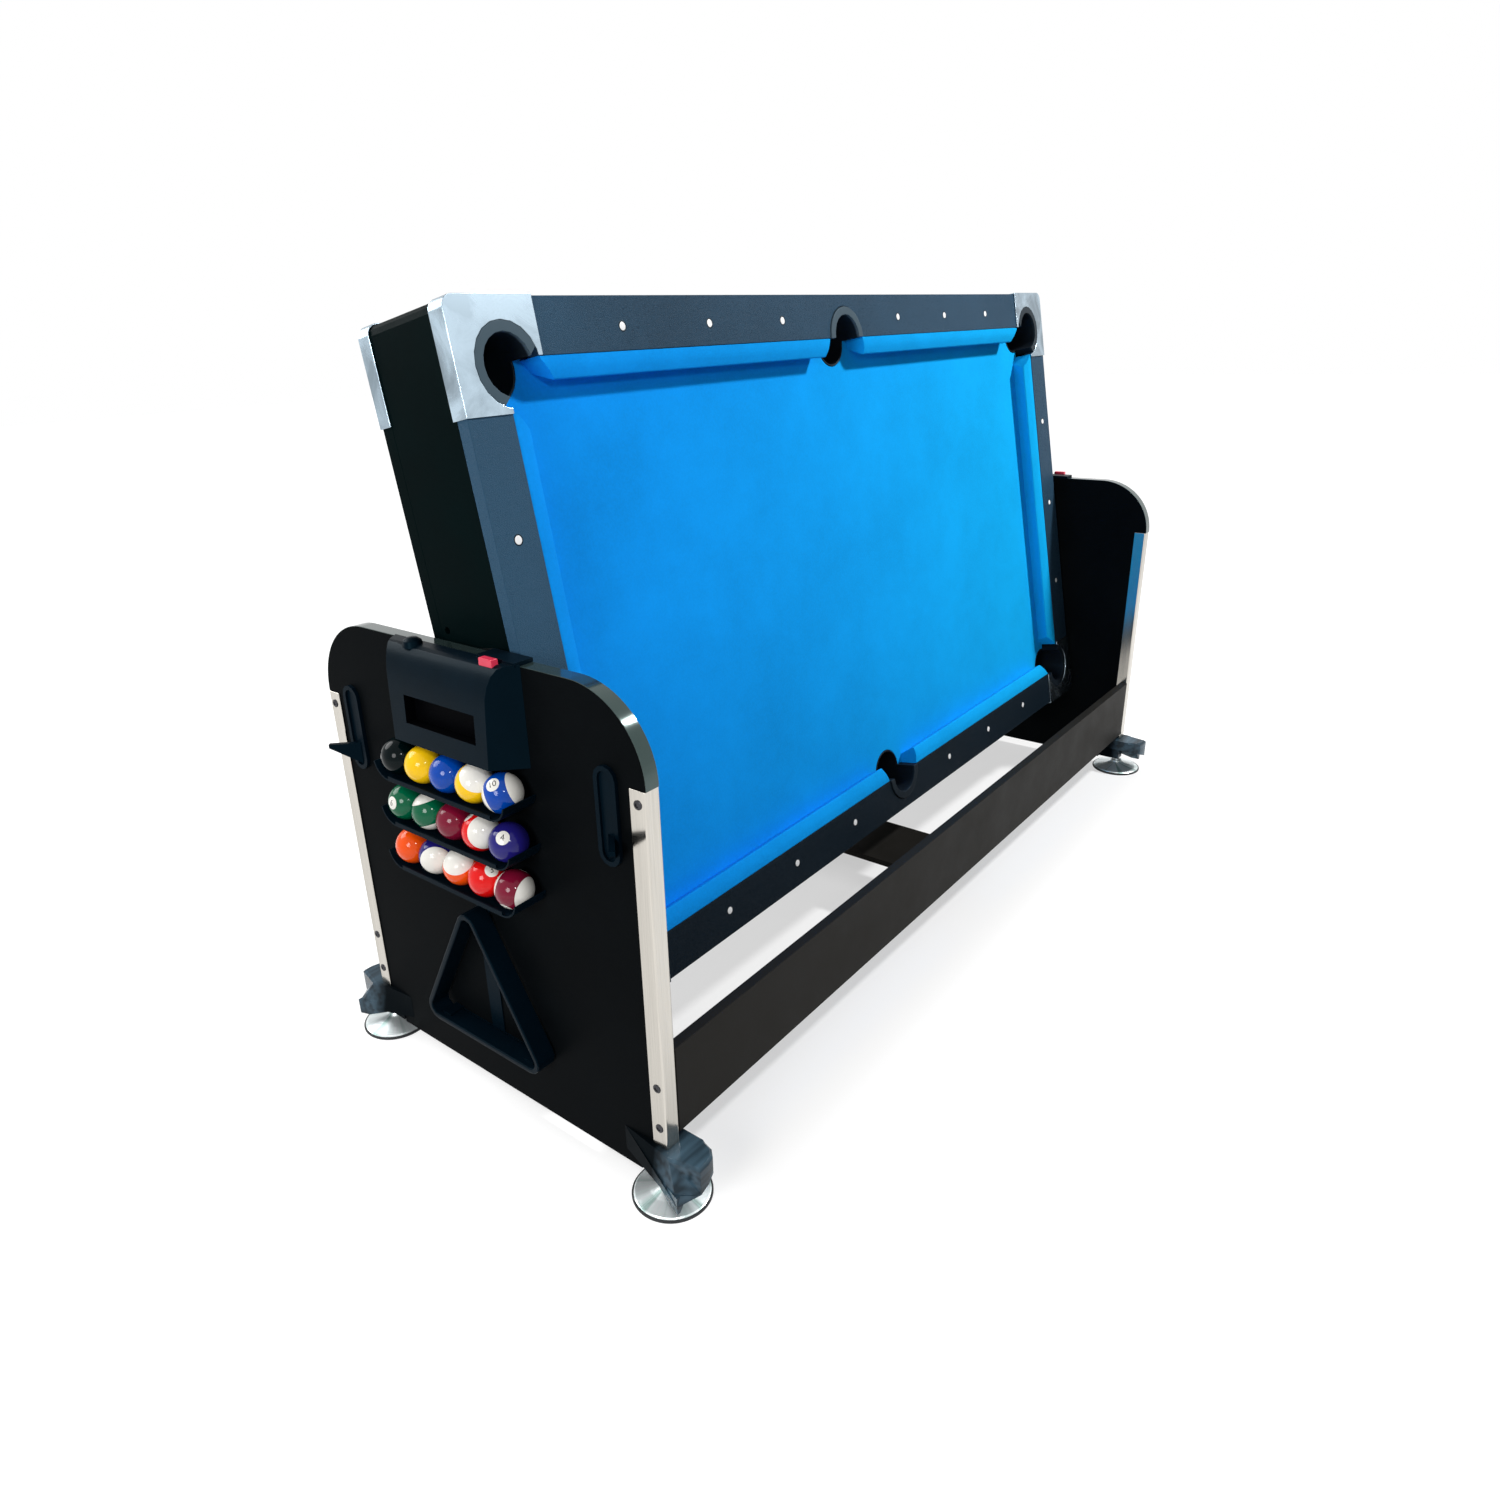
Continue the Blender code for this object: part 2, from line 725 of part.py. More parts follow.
def make_hubs():
    housing_mesh = housing()
    latch_mesh = lock_latch()
    for side, name in ((-1, "left"), (1, "right")):
        node("hub_housing_" + name, mirrored(housing_mesh, x=side), finishes["housing_plastic"], stand)
        node("lock_latch_" + name, mirrored(latch_mesh, x=side), finishes["lock_red"], stand,
             (side * (bolt_nose_x() + bolt_length / 2), -lock_y, pivot_height + lock_rise))


# Holder with its ball trays, balls, ball rack and cue hooks on the left end panel
def row_height(row):
    return top_row_height - row * row_pitch


def ball_place(place):
    """Y of a ball, counted from the rear end of its row."""
    return ball_row_y + ((balls_in_row - 1) / 2 - place) * ball_pitch


def tray_radius():
    """Inner radius of the curled ends, whose flats just clear the balls."""
    return (ball_radius + clearance) / math.cos(tray_end_angle / tray_end_steps / 2)


def tray(row):
    """A bent strip that turns up round the end balls, with a low lip along its front."""
    height = row_height(row)
    rear = ball_place(0)
    front = ball_place(balls_in_row - 1)
    inner = tray_radius()
    outer = inner + tray_wall
    down = 1.5 * math.pi
    outline = arc((front, height), outer, down - tray_end_angle, down, tray_end_steps)
    outline += arc((rear, height), outer, down, down + tray_end_angle, tray_end_steps)
    outline += arc((rear, height), inner, down + tray_end_angle, down, tray_end_steps)
    outline += arc((front, height), inner, down, down - tray_end_angle, tray_end_steps)
    back_x = panel_outer_x + clearance
    front_x = ball_x + tray_front + tray_wall
    strip = upright([outline], front_x - back_x, -(front_x + back_x) / 2)
    floor = height - inner
    lip = box((-front_x, front, floor - tray_wall), (-front_x + tray_wall, rear, floor + tray_lip))
    return joined(strip, lip)


def ball_mesh():
    bm = bmesh.new()
    bmesh.ops.create_uvsphere(bm, u_segments=ball_segments, v_segments=ball_rings, radius=ball_radius)
    return finished(bm)


def rack_outline(side_length, radius):
    """A triangle on its base, apex up, centred on y = 0 with its centre at z = 0."""
    reach = side_length / math.sqrt(3)
    corners = [(reach * math.cos(a), reach * math.sin(a))
               for a in (math.pi / 2, math.pi * 7 / 6, math.pi * 11 / 6)]
    return rounded(corners, radius, 4)


def rack_centre():
    return rack_base + rack_side / (2 * math.sqrt(3))


def ball_rack():
    inner_side = rack_side - 2 * rack_wall * math.sqrt(3)
    outlines = [rack_outline(rack_side, rack_corner), rack_outline(inner_side, rack_corner - rack_wall)]
    mesh = upright(outlines, rack_depth)
    return mesh


def rack_clip(side):
    """A clip with one jaw above and one below the rack's base bar."""
    low = rack_base - clearance - clip_wall
    high = rack_base + rack_wall + clearance + clip_wall
    back_x = panel_outer_x + clearance
    y = rack_centre_y + side * clip_spread
    whole = box((-back_x - clip_depth, y - clip_width / 2, low), (-back_x, y + clip_width / 2, high))
    gap = box((-back_x - clip_depth - overrun, y - clip_width, rack_base - clearance),
              (-back_x - holder_back, y + clip_width, rack_base + rack_wall + clearance))
    return cut(whole, gap)


def ball_holder():
    """Three trays and two rack clips on one spine against the end panel."""
    back_x = panel_outer_x + clearance
    low = rack_base - clearance - clip_wall
    spine = box((-back_x - holder_back, rack_centre_y - holder_spine / 2, low),
                (-back_x, rack_centre_y + holder_spine / 2, row_height(0)))
    foot = box((-back_x - holder_back, rack_centre_y - clip_spread, low),
               (-back_x, rack_centre_y + clip_spread, rack_base + rack_wall))
    pieces = [tray(row) for row in range(len(ball_rows))] + [foot, rack_clip(-1), rack_clip(1)]
    return joined(spine, *pieces)


def cue_hook(face):
    """An oblong plate with a shallow recess, and a pointed blade that stands out at an angle."""
    outer_half = hook_plate_width / 2
    straight = hook_plate_height / 2 - outer_half
    outline = arc((0, straight), outer_half, 0, math.pi, 6) + arc((0, -straight), outer_half, math.pi, 2 * math.pi, 6)
    inner_half = outer_half - hook_recess_margin
    hole = arc((0, straight), inner_half, 0, math.pi, 6) + arc((0, -straight), inner_half, math.pi, 2 * math.pi, 6)
    back_x = panel_outer_x + clearance
    plate = upright([outline], hook_plate_thickness, -(back_x + hook_plate_thickness / 2))
    recess = upright([hole], hook_recess + overrun, -(back_x + hook_plate_thickness + (overrun - hook_recess) / 2))
    plate = placed(cut(plate, recess), y=face * hook_y, z=hook_plate_centre)
    top = hook_blade_top
    blade_outline = [(0, top - hook_blade_root), (0, top), (hook_blade_length, top),
                     (hook_blade_length, top - hook_blade_tip)]
    blade = moved(prism([blade_outline], hook_blade_wall), Matrix.Rotation(math.pi / 2, 4, "X"))
    blade = moved(blade, Matrix.Rotation(math.pi - face * hook_angle, 4, "Z"))
    blade = placed(blade, x=-back_x, y=face * hook_y)
    floor = (hook_plate_thickness - hook_recess) / 2
    blade = sliced(blade, (-back_x - floor, 0, 0), (1, 0, 0))
    return joined(plate, blade)


def make_left_end_fittings():
    node("ball_holder", ball_holder(), finishes["black_plastic"], stand)
    sphere = ball_mesh()
    for row, numbers in enumerate(ball_rows):
        for place, number in enumerate(numbers):
            colour = ball_colours[number if number <= 8 else number - 8]
            node("ball_%02d" % number, sphere.copy(), (colour, 0.08, 0.0), stand,
                 (-ball_x, ball_place(place), row_height(row)))
    rack_x = panel_outer_x + clearance + holder_back + clearance + rack_depth / 2
    node("ball_rack", ball_rack(), finishes["black_plastic"], stand, (-rack_x, rack_centre_y, rack_centre()))
    for face, name in ((-1, "front"), (1, "rear")):
        node("cue_hook_" + name, cue_hook(face), finishes["black_plastic"], stand)


# Swinging top
def corner_ties(radius):
    """Outlines of the holes for the four tie rods between the corner caps."""
    u = top_half_length - tie_inset
    v = top_half_width - tie_inset
    return [circle((sign_u * u, sign_v * v), radius, tie_steps) for sign_u in (-1, 1) for sign_v in (-1, 1)]


def ring_plate(inners, thickness, middle):
    outer = rounded_rectangle(top_half_length, top_half_width, top_corner, 3)
    return placed(prism([outer] + inners, thickness), z=middle)


def case():
    """Four walls, with two holes in each end wall for the lock bolt."""
    inner = rectangle(top_half_length - case_wall, top_half_width - case_wall)
    low = -hockey_bed_face
    walls = ring_plate([inner], case_top - low, (case_top + low) / 2)
    for side in (-1, 1):
        for way in (-1, 1):
            hole = rod(bolt_radius + bolt_fit, case_wall + 2 * overrun, bolt_steps)
            walls = cut(walls, placed(hole, side * (top_half_length - case_wall / 2), way * -lock_y, way * lock_rise))
    return walls


def field_outline():
    """The rails' inner edge with a bite round each pocket."""
    lift = math.asin((field_half_u - pocket_u) / bite_radius)
    side_lift = math.asin((field_half_v - side_pocket_v) / bite_radius)
    bite_steps = pocket_steps * 3 // 4
    points = []
    signs = ((1, 1), (-1, 1), (-1, -1), (1, -1))
    for quarter, (sign_u, sign_v) in enumerate(signs):
        turn = quarter * math.pi / 2
        points += arc((sign_u * pocket_u, sign_v * pocket_v), bite_radius, lift - math.pi / 2 + turn,
                      math.pi - lift + turn, bite_steps)
        if quarter in (0, 2):
            centre = (0, sign_v * side_pocket_v)
            points += arc(centre, bite_radius, side_lift + turn, math.pi - side_lift + turn, pocket_steps // 2)
    return points


def storage_lock():
    """Where the lock bolt's axis meets the leaning top, as v and n."""
    return (lock_rise * math.cos(rest_tilt) - lock_y * math.sin(rest_tilt),
            lock_y * math.cos(rest_tilt) + lock_rise * math.sin(rest_tilt))


def striker_hole(depth):
    """A square hole for the lock bolt, level while the top leans."""
    half = bolt_radius + striker_fit
    reach = (depth + overrun) / 2
    return moved(box((-reach, -half, -half), (reach, half, half)), Matrix.Rotation(rest_tilt, 4, "X"))


def pool_rails():
    """The rails, with a hole in each end for the bolt that holds the top leaning."""
    holes = [field_outline()] + corner_ties(tie_radius + clearance)
    rails = ring_plate(holes, rail_thickness, pool_face - rail_thickness / 2)
    depth = bolt_travel - bolt_gap + striker_room
    for side in (-1, 1):
        hole = placed(striker_hole(depth), side * (top_half_length + (overrun - depth) / 2), *storage_lock())
        rails = cut(rails, hole)
    return rails


def pocket_centres():
    centres = [(sign_u * pocket_u, sign_v * pocket_v) for sign_u in (-1, 1) for sign_v in (-1, 1)]
    return centres + [(0, -side_pocket_v), (0, side_pocket_v)]


def pool_bed():
    """The cloth-covered bed with the six cushions that share its cloth."""
    outer = rectangle(top_half_length - case_wall - clearance, top_half_width - case_wall - clearance)
    holes = [circle(centre, pocket_mouth + cup_wall + clearance, pocket_steps) for centre in pocket_centres()]
    holes += corner_ties(tie_radius + clearance)
    bed = placed(prism([outer] + holes, bed_thickness), z=bed_top - bed_thickness / 2)
    return joined(bed, *cushions())


def cushion_profile():
    """Section of a cushion: distance from the rail's inner edge, and n."""
    top = pool_face - cushion_shoulder
    nose = bed_top + cushion_nose_height
    foot = bed_top - bed_thickness / 2
    return [(clearance, foot), (cushion_width - cushion_undercut, foot), (cushion_width, nose - cushion_nose_band),
            (cushion_width, nose), (cushion_width - cushion_nose_band, nose + cushion_nose_band),
            (cushion_width / 2, top), (clearance, top)]


def cushion(start, end, start_cut, end_cut):
    """A cushion on the +v rail between two u values at the rail's edge, its ends cut back to the nose."""
    outline = [(field_half_v - distance, height) for distance, height in cushion_profile()]
    mesh = upright([outline], end - start, (start + end) / 2)
    for place, angle, outward in ((start, start_cut, -1), (end, end_cut, 1)):
        normal = (outward * math.cos(angle), -math.sin(angle), 0)
        mesh = sliced(mesh, (place, field_half_v, 0), normal)
    return mesh


def cushions():
    reach = math.sqrt(bite_radius ** 2 - (field_half_v - pocket_v) ** 2) + clearance
    side_reach_u = math.sqrt(bite_radius ** 2 - (field_half_v - side_pocket_v) ** 2) + clearance
    long_piece = cushion(side_reach_u, pocket_u - reach, cushion_side_cut, cushion_corner_cut)
    pieces = [mirrored(long_piece, x=x, y=y) for x in (-1, 1) for y in (-1, 1)]
    end_piece = cushion(-(pocket_v - reach), pocket_v - reach, cushion_corner_cut, cushion_corner_cut)
    end_piece = placed(end_piece, y=field_half_u - field_half_v)
    for turn in (-1, 1):
        pieces.append(moved(end_piece.copy(), Matrix.Rotation(turn * math.pi / 2, 4, "Z")))
    return pieces


def pocket_liner(centre, outward, opening):
    """A collar in the rail, cut open towards the field, and the cup below it."""
    top = pool_face + collar_rise
    tube = pocket_mouth + cup_wall
    profile = [
        (collar_radius, top), (collar_radius, bed_top + clearance), (tube, bed_top + clearance),
        (tube, cup_bottom), (0, cup_bottom), (0, cup_bottom + cup_floor), (pocket_mouth, cup_bottom + cup_floor),
        (pocket_mouth, top),
    ]
    liner = turned(profile, pocket_steps, ring=True)
    side = 3 * collar_radius
    field_side = box((-side, -side, bed_top + clearance), (-opening, side, top + overrun))
    liner = cut(liner, moved(field_side, Matrix.Rotation(outward, 4, "Z")))
    return placed(liner, x=centre[0], y=centre[1])


def make_pockets():
    for sign_v, v_name in ((-1, "lower"), (1, "upper")):
        for sign_u, u_name in ((-1, "left"), (1, "right")):
            centre = (sign_u * pocket_u, sign_v * pocket_v)
            liner = pocket_liner(centre, math.atan2(sign_v, sign_u), collar_opening)
            node("pocket_%s_%s" % (v_name, u_name), liner, finishes["pocket_rubber"], top_frame)
        liner = pocket_liner((0, sign_v * side_pocket_v), sign_v * math.pi / 2,
                             side_pocket_v - field_half_v + clearance)
        node("pocket_%s_middle" % v_name, liner, finishes["pocket_rubber"], top_frame)


def corner_cap(arm, arm_width, face, flange, pocket):
    """The cap of the corner at +u and +v: an L-shaped plate on the face with flanges down both sides."""
    skin = cap_wall + clearance
    outer_u = top_half_length + skin
    outer_v = top_half_width + skin
    low_u = top_half_length - arm
    low_v = top_half_width - arm
    corner = top_corner + skin
    bend = arc((outer_u - corner, outer_v - corner), corner, 0, math.pi / 2, 4)
    outline = [(low_u, low_v), (outer_u, low_v)] + bend + [(low_u, outer_v)]
    top = face + clearance + cap_plate
    cap = placed(prism([outline], flange), z=top - flange / 2)
    inside = rounded_rectangle(top_half_length + clearance, top_half_width + clearance, top_corner + clearance, 4)
    cores = placed(prism([inside], flange), z=face + clearance - flange / 2)
    edge_u = top_half_length - arm_width
    edge_v = top_half_width - arm_width
    field = box((low_u - overrun, low_v - overrun, face - overrun), (edge_u, edge_v, top + overrun))
    cutters = [cores, field]
    if pocket:
        hole = post(collar_radius + clearance, face - overrun, top + overrun, pocket_steps)
        cutters.append(placed(hole, x=pocket_u, y=pocket_v))
    return cut(cap, *cutters)


def corner_caps():
    """The pool cap and the hockey cap of the corner at +u and +v, tied through the top by one rod."""
    pool_cap = corner_cap(pool_cap_arm, rail_width - clearance, pool_face, pool_cap_flange, pocket=True)
    hockey_cap = corner_cap(hockey_cap_arm, hockey_rail_width - cap_ledge, hockey_face, hockey_cap_flange,
                            pocket=False)
    tie = post(tie_radius, -hockey_face - clearance - cap_plate / 2, pool_face + clearance + cap_plate / 2, tie_steps)
    tie = placed(tie, x=top_half_length - tie_inset, y=top_half_width - tie_inset)
    return joined(pool_cap, tie, mirrored(hockey_cap, z=-1))


def hockey_bed():
    outer = rectangle(top_half_length - case_wall - clearance, top_half_width - case_wall - clearance)
    outlines = [outer] + corner_ties(tie_radius + clearance)
    return placed(prism(outlines, bed_thickness), z=-hockey_bed_face + bed_thickness / 2)


def hockey_long_rail():
    """The long rail at +v, rounded at its outer corners and bored for two tie rods."""
    inner_v = top_half_width - hockey_rail_width
    corner_u = top_half_length - top_corner
    corner_v = top_half_width - top_corner
    outline = [(-top_half_length, inner_v), (top_half_length, inner_v)]
    outline += arc((corner_u, corner_v), top_corner, 0, math.pi / 2, 3)
    outline += arc((-corner_u, corner_v), top_corner, math.pi / 2, math.pi, 3)
    holes = [hole for hole in corner_ties(tie_radius + clearance) if hole[0][1] > 0]
    return placed(prism([outline] + holes, hockey_rail_thickness), z=-hockey_face + hockey_rail_thickness / 2)


def hockey_end_rail():
    """The rail across the end at +u, between the long rails, with the slot of its goal."""
    inner_u = top_half_length - hockey_rail_width
    half = top_half_width - hockey_rail_width - clearance
    bed_side = -hockey_face + hockey_rail_thickness
    rail = box((inner_u, -half, -hockey_face), (top_half_length, half, bed_side))
    slot = box((inner_u - overrun, -goal_width / 2, bed_side - goal_height),
               (inner_u + goal_depth, goal_width / 2, bed_side + overrun))
    return cut(rail, slot)


def pivot_plate(side):
    """A steel plate on the case's end with the axle stub."""
    face = top_half_length + clearance
    outer = rounded_rectangle(plate_half_width, plate_half_height, plate_corner, 3)
    plate = upright([outer], plate_thickness, face + plate_thickness / 2)
    start = face + plate_thickness / 2
    axle = placed(rod(axle_radius, axle_end_x() - start, pivot_steps), x=(start + axle_end_x()) / 2)
    return mirrored(joined(plate, axle), x=side)


def make_top():
    node("table_case", case(), finishes["case_black"], top_frame)
    node("pool_bed", pool_bed(), finishes["blue_cloth"], top_frame)
    node("pool_rails", pool_rails(), finishes["rail_vinyl"], top_frame)
    make_pockets()
    caps_mesh = corner_caps()
    for sign_v, v_name in ((-1, "lower"), (1, "upper")):
        for sign_u, u_name in ((-1, "left"), (1, "right")):
            node("corner_caps_%s_%s" % (v_name, u_name), mirrored(caps_mesh, x=sign_u, y=sign_v),
                 finishes["cap_silver"], top_frame)
    node("hockey_bed", hockey_bed(), finishes["hockey_white"], top_frame)
    for side, v_name, u_name in ((-1, "lower", "left"), (1, "upper", "right")):
        node("hockey_rail_" + v_name, mirrored(hockey_long_rail(), y=side), finishes["hockey_rail"], top_frame)
        node("hockey_rail_" + u_name, mirrored(hockey_end_rail(), x=side), finishes["hockey_rail"], top_frame)
        node("pivot_plate_" + u_name, pivot_plate(side), finishes["black_steel"], top_frame)


clear_scene()
collection = bpy.data.collections.new("multi_game_table")
bpy.context.scene.collection.children.link(collection)
stand = make_empty("stand_frame", (origin_shift, 0, 0))
top_frame = make_empty("top_pivot", (0, 0, pivot_height), (math.pi / 2 - rest_tilt, 0, 0), stand)

for end_side, end_name in ((-1, "left"), (1, "right")):
    make_end(end_side, end_name)
make_stretchers()
make_corners()
make_hubs()
make_left_end_fittings()
make_top()
bpy.context.view_layer.update()
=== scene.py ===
"""Looks of a rotating multi game table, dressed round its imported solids. Metres, +Z up."""
import json
import math

import bmesh
import bpy
from mathutils import Matrix, Vector


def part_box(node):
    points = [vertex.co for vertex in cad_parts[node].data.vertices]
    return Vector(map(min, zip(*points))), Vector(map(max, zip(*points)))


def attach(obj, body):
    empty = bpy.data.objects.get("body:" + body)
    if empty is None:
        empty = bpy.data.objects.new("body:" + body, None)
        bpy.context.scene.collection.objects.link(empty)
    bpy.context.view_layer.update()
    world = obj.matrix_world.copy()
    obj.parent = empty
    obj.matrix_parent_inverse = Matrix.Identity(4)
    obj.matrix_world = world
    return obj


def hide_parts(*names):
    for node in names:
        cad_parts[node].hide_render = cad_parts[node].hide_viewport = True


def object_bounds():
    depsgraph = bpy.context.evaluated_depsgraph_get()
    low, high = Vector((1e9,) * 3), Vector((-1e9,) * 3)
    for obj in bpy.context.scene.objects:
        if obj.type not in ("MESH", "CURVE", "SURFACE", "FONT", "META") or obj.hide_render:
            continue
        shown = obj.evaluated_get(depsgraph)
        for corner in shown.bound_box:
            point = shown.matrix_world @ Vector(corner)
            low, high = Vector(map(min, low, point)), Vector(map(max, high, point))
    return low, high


bl_info = {
    "name": "Rotating Multi Game Table",
    "version": (1, 0, 0),
    "blender": (4, 5, 0),
    "location": "3D View > Sidebar > Game Table",
    "description": "Dresses the solids of a rotating multi game table with its pieces, finishes and studio",
    "category": "Add Mesh",
}

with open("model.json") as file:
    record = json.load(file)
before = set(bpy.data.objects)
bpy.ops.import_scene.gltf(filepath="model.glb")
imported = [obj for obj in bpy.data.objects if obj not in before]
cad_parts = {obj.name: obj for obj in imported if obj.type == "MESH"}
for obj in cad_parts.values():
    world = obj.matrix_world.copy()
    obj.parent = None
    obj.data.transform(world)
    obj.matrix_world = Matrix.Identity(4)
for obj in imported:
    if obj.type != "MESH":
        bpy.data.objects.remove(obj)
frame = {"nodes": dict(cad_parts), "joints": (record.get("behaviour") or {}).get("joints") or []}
cad_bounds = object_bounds()
nodes = frame["nodes"]
hinge = next(joint for joint in frame["joints"] if joint["name"] == "top_rotation")
pivot = Vector(hinge["pos_m"])
lean = math.radians(-hinge["range_deg"][0])
# The swinging top's own frame: X along the table, Y across it, Z out of the pool face
top_frame = Matrix.Translation(pivot) @ Matrix.Rotation(lean, 4, "X")
sides = ("left", "right")
faces = ("front", "rear")
rows = ("lower", "upper")


def node_size(name):
    low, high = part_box(name)
    return high - low


def middle_of(name):
    low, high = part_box(name)
    return (low + high) / 2


def cad_middle():
    return (Vector(cad_bounds[0]) + Vector(cad_bounds[1])) / 2


# Settings that a user would change
def length(name, description, default):
    return bpy.props.FloatProperty(name=name, description=description, default=default, min=0.0, unit="LENGTH",
                                   precision=5)


def share(name, description, default, most=1.0):
    return bpy.props.FloatProperty(name=name, description=description, default=default, min=0.0, max=most,
                                   subtype="FACTOR")


def angle(name, description, degrees):
    return bpy.props.FloatProperty(name=name, description=description, default=math.radians(degrees),
                                   subtype="ANGLE")


def watts(name, description, default):
    return bpy.props.FloatProperty(name=name, description=description, default=default, min=0.0, unit="POWER")


def colour(name, description, *value):
    return bpy.props.FloatVectorProperty(name=name, description=description, default=value, min=0.0, max=1.0,
                                         size=3, subtype="COLOR")


class GameTableSizes(bpy.types.PropertyGroup):
    field_half_length: length("Field half length", "Centre of the pool face to its end rails' inner edge", 0.8424)
    field_half_width: length("Field half width", "Centre of the pool face to its long rails' inner edge", 0.4349)
    bed_level: length("Bed level", "Height of the bed cloth in the top's frame", 0.0704)
    bed_thickness: length("Bed thickness", "Thickness of the pool bed", 0.012)
    rail_level: length("Rail level", "Height of the pool rails' face in the top's frame", 0.1104)
    rail_half_width: length("Rail half width", "Centre of the pool face to its long rails' outer edge", 0.5111)
    cushion_width: length("Cushion width", "Reach of a cushion from its rail", 0.031)
    nose_height: length("Nose height", "Height of a cushion's nose over the bed", 0.0325)
    nose_radius: length("Nose radius", "Roundness of a cushion's nose", 0.0035)
    pocket_reach_u: length("Pocket reach along", "Centre of the table to a corner pocket, along the table", 0.8336)
    pocket_reach_v: length("Pocket reach across", "Centre of the table to a corner pocket, across it", 0.4261)
    side_pocket_reach: length("Side pocket reach", "Centre of the table to a middle pocket", 0.4346)
    pocket_bite: length("Pocket bite", "Radius that the rails leave free round a pocket", 0.0565)
    cup_radius: length("Cup radius", "Outer radius of a pocket's cup where it passes the bed", 0.0450)
    sight_radius: length("Sight radius", "Radius of a sight's white dot", 0.0060)
    sight_ring: length("Sight ring", "Outer radius of a sight's dark ring", 0.0080)
    long_sight_inset: length("Long rail sight inset", "Rail's outer edge to its sights, long rails", 0.0425)
    short_sight_inset: length("Short rail sight inset", "Rail's outer edge to its sights, end rails", 0.0388)
    long_sight_pitch: length("Long rail sight pitch", "From sight to sight, an eighth of the field", 1.613 / 8)
    end_sight_pitch: length("End rail sight pitch", "From sight to sight, a quarter of the field", 0.820 / 4)
    trim_thickness: length("Edge trim thickness", "How far the end panels' edge trim stands proud", 0.0009)
    trim_corner: length("Panel corner radius", "Radius of the end panels' upper corners", 0.1236)
    screw_radius: length("Screw radius", "Radius of the uprights' screw heads", 0.0068)
    screw_inset: length("Screw inset", "Front of the stand to the screws", 0.0130)
    number_disc: length("Number disc", "Radius of the white disc round a ball's number", 0.0098)
    number_size: length("Number size", "Height of the type of a ball's number", 0.0125)
    stripe_half: length("Stripe half width", "Half the width of a striped ball's band", 0.0165)
    foot_radius: length("Foot radius", "Radius of a levelling foot", 0.060)


class GameTableColours(bpy.types.PropertyGroup):
    cloth: colour("Cloth", "Bed and cushion cloth", 0.004, 0.325, 0.80)
    # The rails' slate blue is a painted sheen; on the lower rail the vinyl is drawn near black.
    rail: colour("Rail vinyl", "Textured vinyl of the pool rails", 0.022, 0.058, 0.100)
    laminate: colour("Laminate", "Black laminate of the end panels", 0.0026, 0.0034, 0.0040)
    trim: colour("Edge trim", "Glossy trim round the end panels' tops", 0.020, 0.034, 0.033)
    case: colour("Case", "Black laminate of the case and hockey rails", 0.0004, 0.0030, 0.0033)
    board: colour("Board", "Laminate of the long boards", 0.0105, 0.0098, 0.0085)
    aluminium: colour("Uprights", "Satin aluminium of the uprights", 0.50, 0.475, 0.43)
    silver: colour("Corner caps", "Silver of the corner caps", 0.35, 0.44, 0.51)
    moulding: colour("Mouldings", "Black plastic mouldings", 0.0011, 0.0049, 0.0092)
    hollow: colour("Finger holes", "Unlit inside of the hub housings' finger holes", 0.0008, 0.0009, 0.0014)
    pocket: colour("Pocket cups", "Pocket cups, and the rings of the sights", 0.006, 0.009, 0.013)
    # The collars' grey is painted light; the moulding itself is the black of the cups.
    collar: colour("Pocket collars", "Pocket collars, level with the rails", 0.052, 0.080, 0.102)
    # The shoes' blue-grey is the tone of a painted highlight on their lobes; their wings are drawn near black.
    shoe: colour("Shoes", "Corner shoes", 0.030, 0.056, 0.078)
    tab: colour("Lock tabs", "Red tabs of the locks", 0.72, 0.035, 0.085)
    rubber: colour("Rubber", "Rims of the levelling feet", 0.016, 0.018, 0.020)
    chrome: colour("Chrome", "Plating of the levelling feet", 0.80, 0.83, 0.85)
    steel: colour("Screws", "Blackened screw heads", 0.05, 0.05, 0.055)
    ivory: colour("Ball white", "White of the pool balls", 0.88, 0.86, 0.80)
    ink: colour("Ball ink", "Numbers of the pool balls", 0.008, 0.008, 0.009)
    sight: colour("Sights", "White dots of the sights", 0.86, 0.88, 0.90)
    puck_field: colour("Hockey field", "White sheet of the air hockey bed", 0.78, 0.80, 0.82)
    red_line: colour("Red line", "Centre line and circle of the hockey field", 0.62, 0.02, 0.03)
    blue_line: colour("Blue line", "Zone lines of the hockey field", 0.02, 0.08, 0.50)
    air_hole: colour("Air holes", "Air holes of the hockey field", 0.02, 0.02, 0.02)


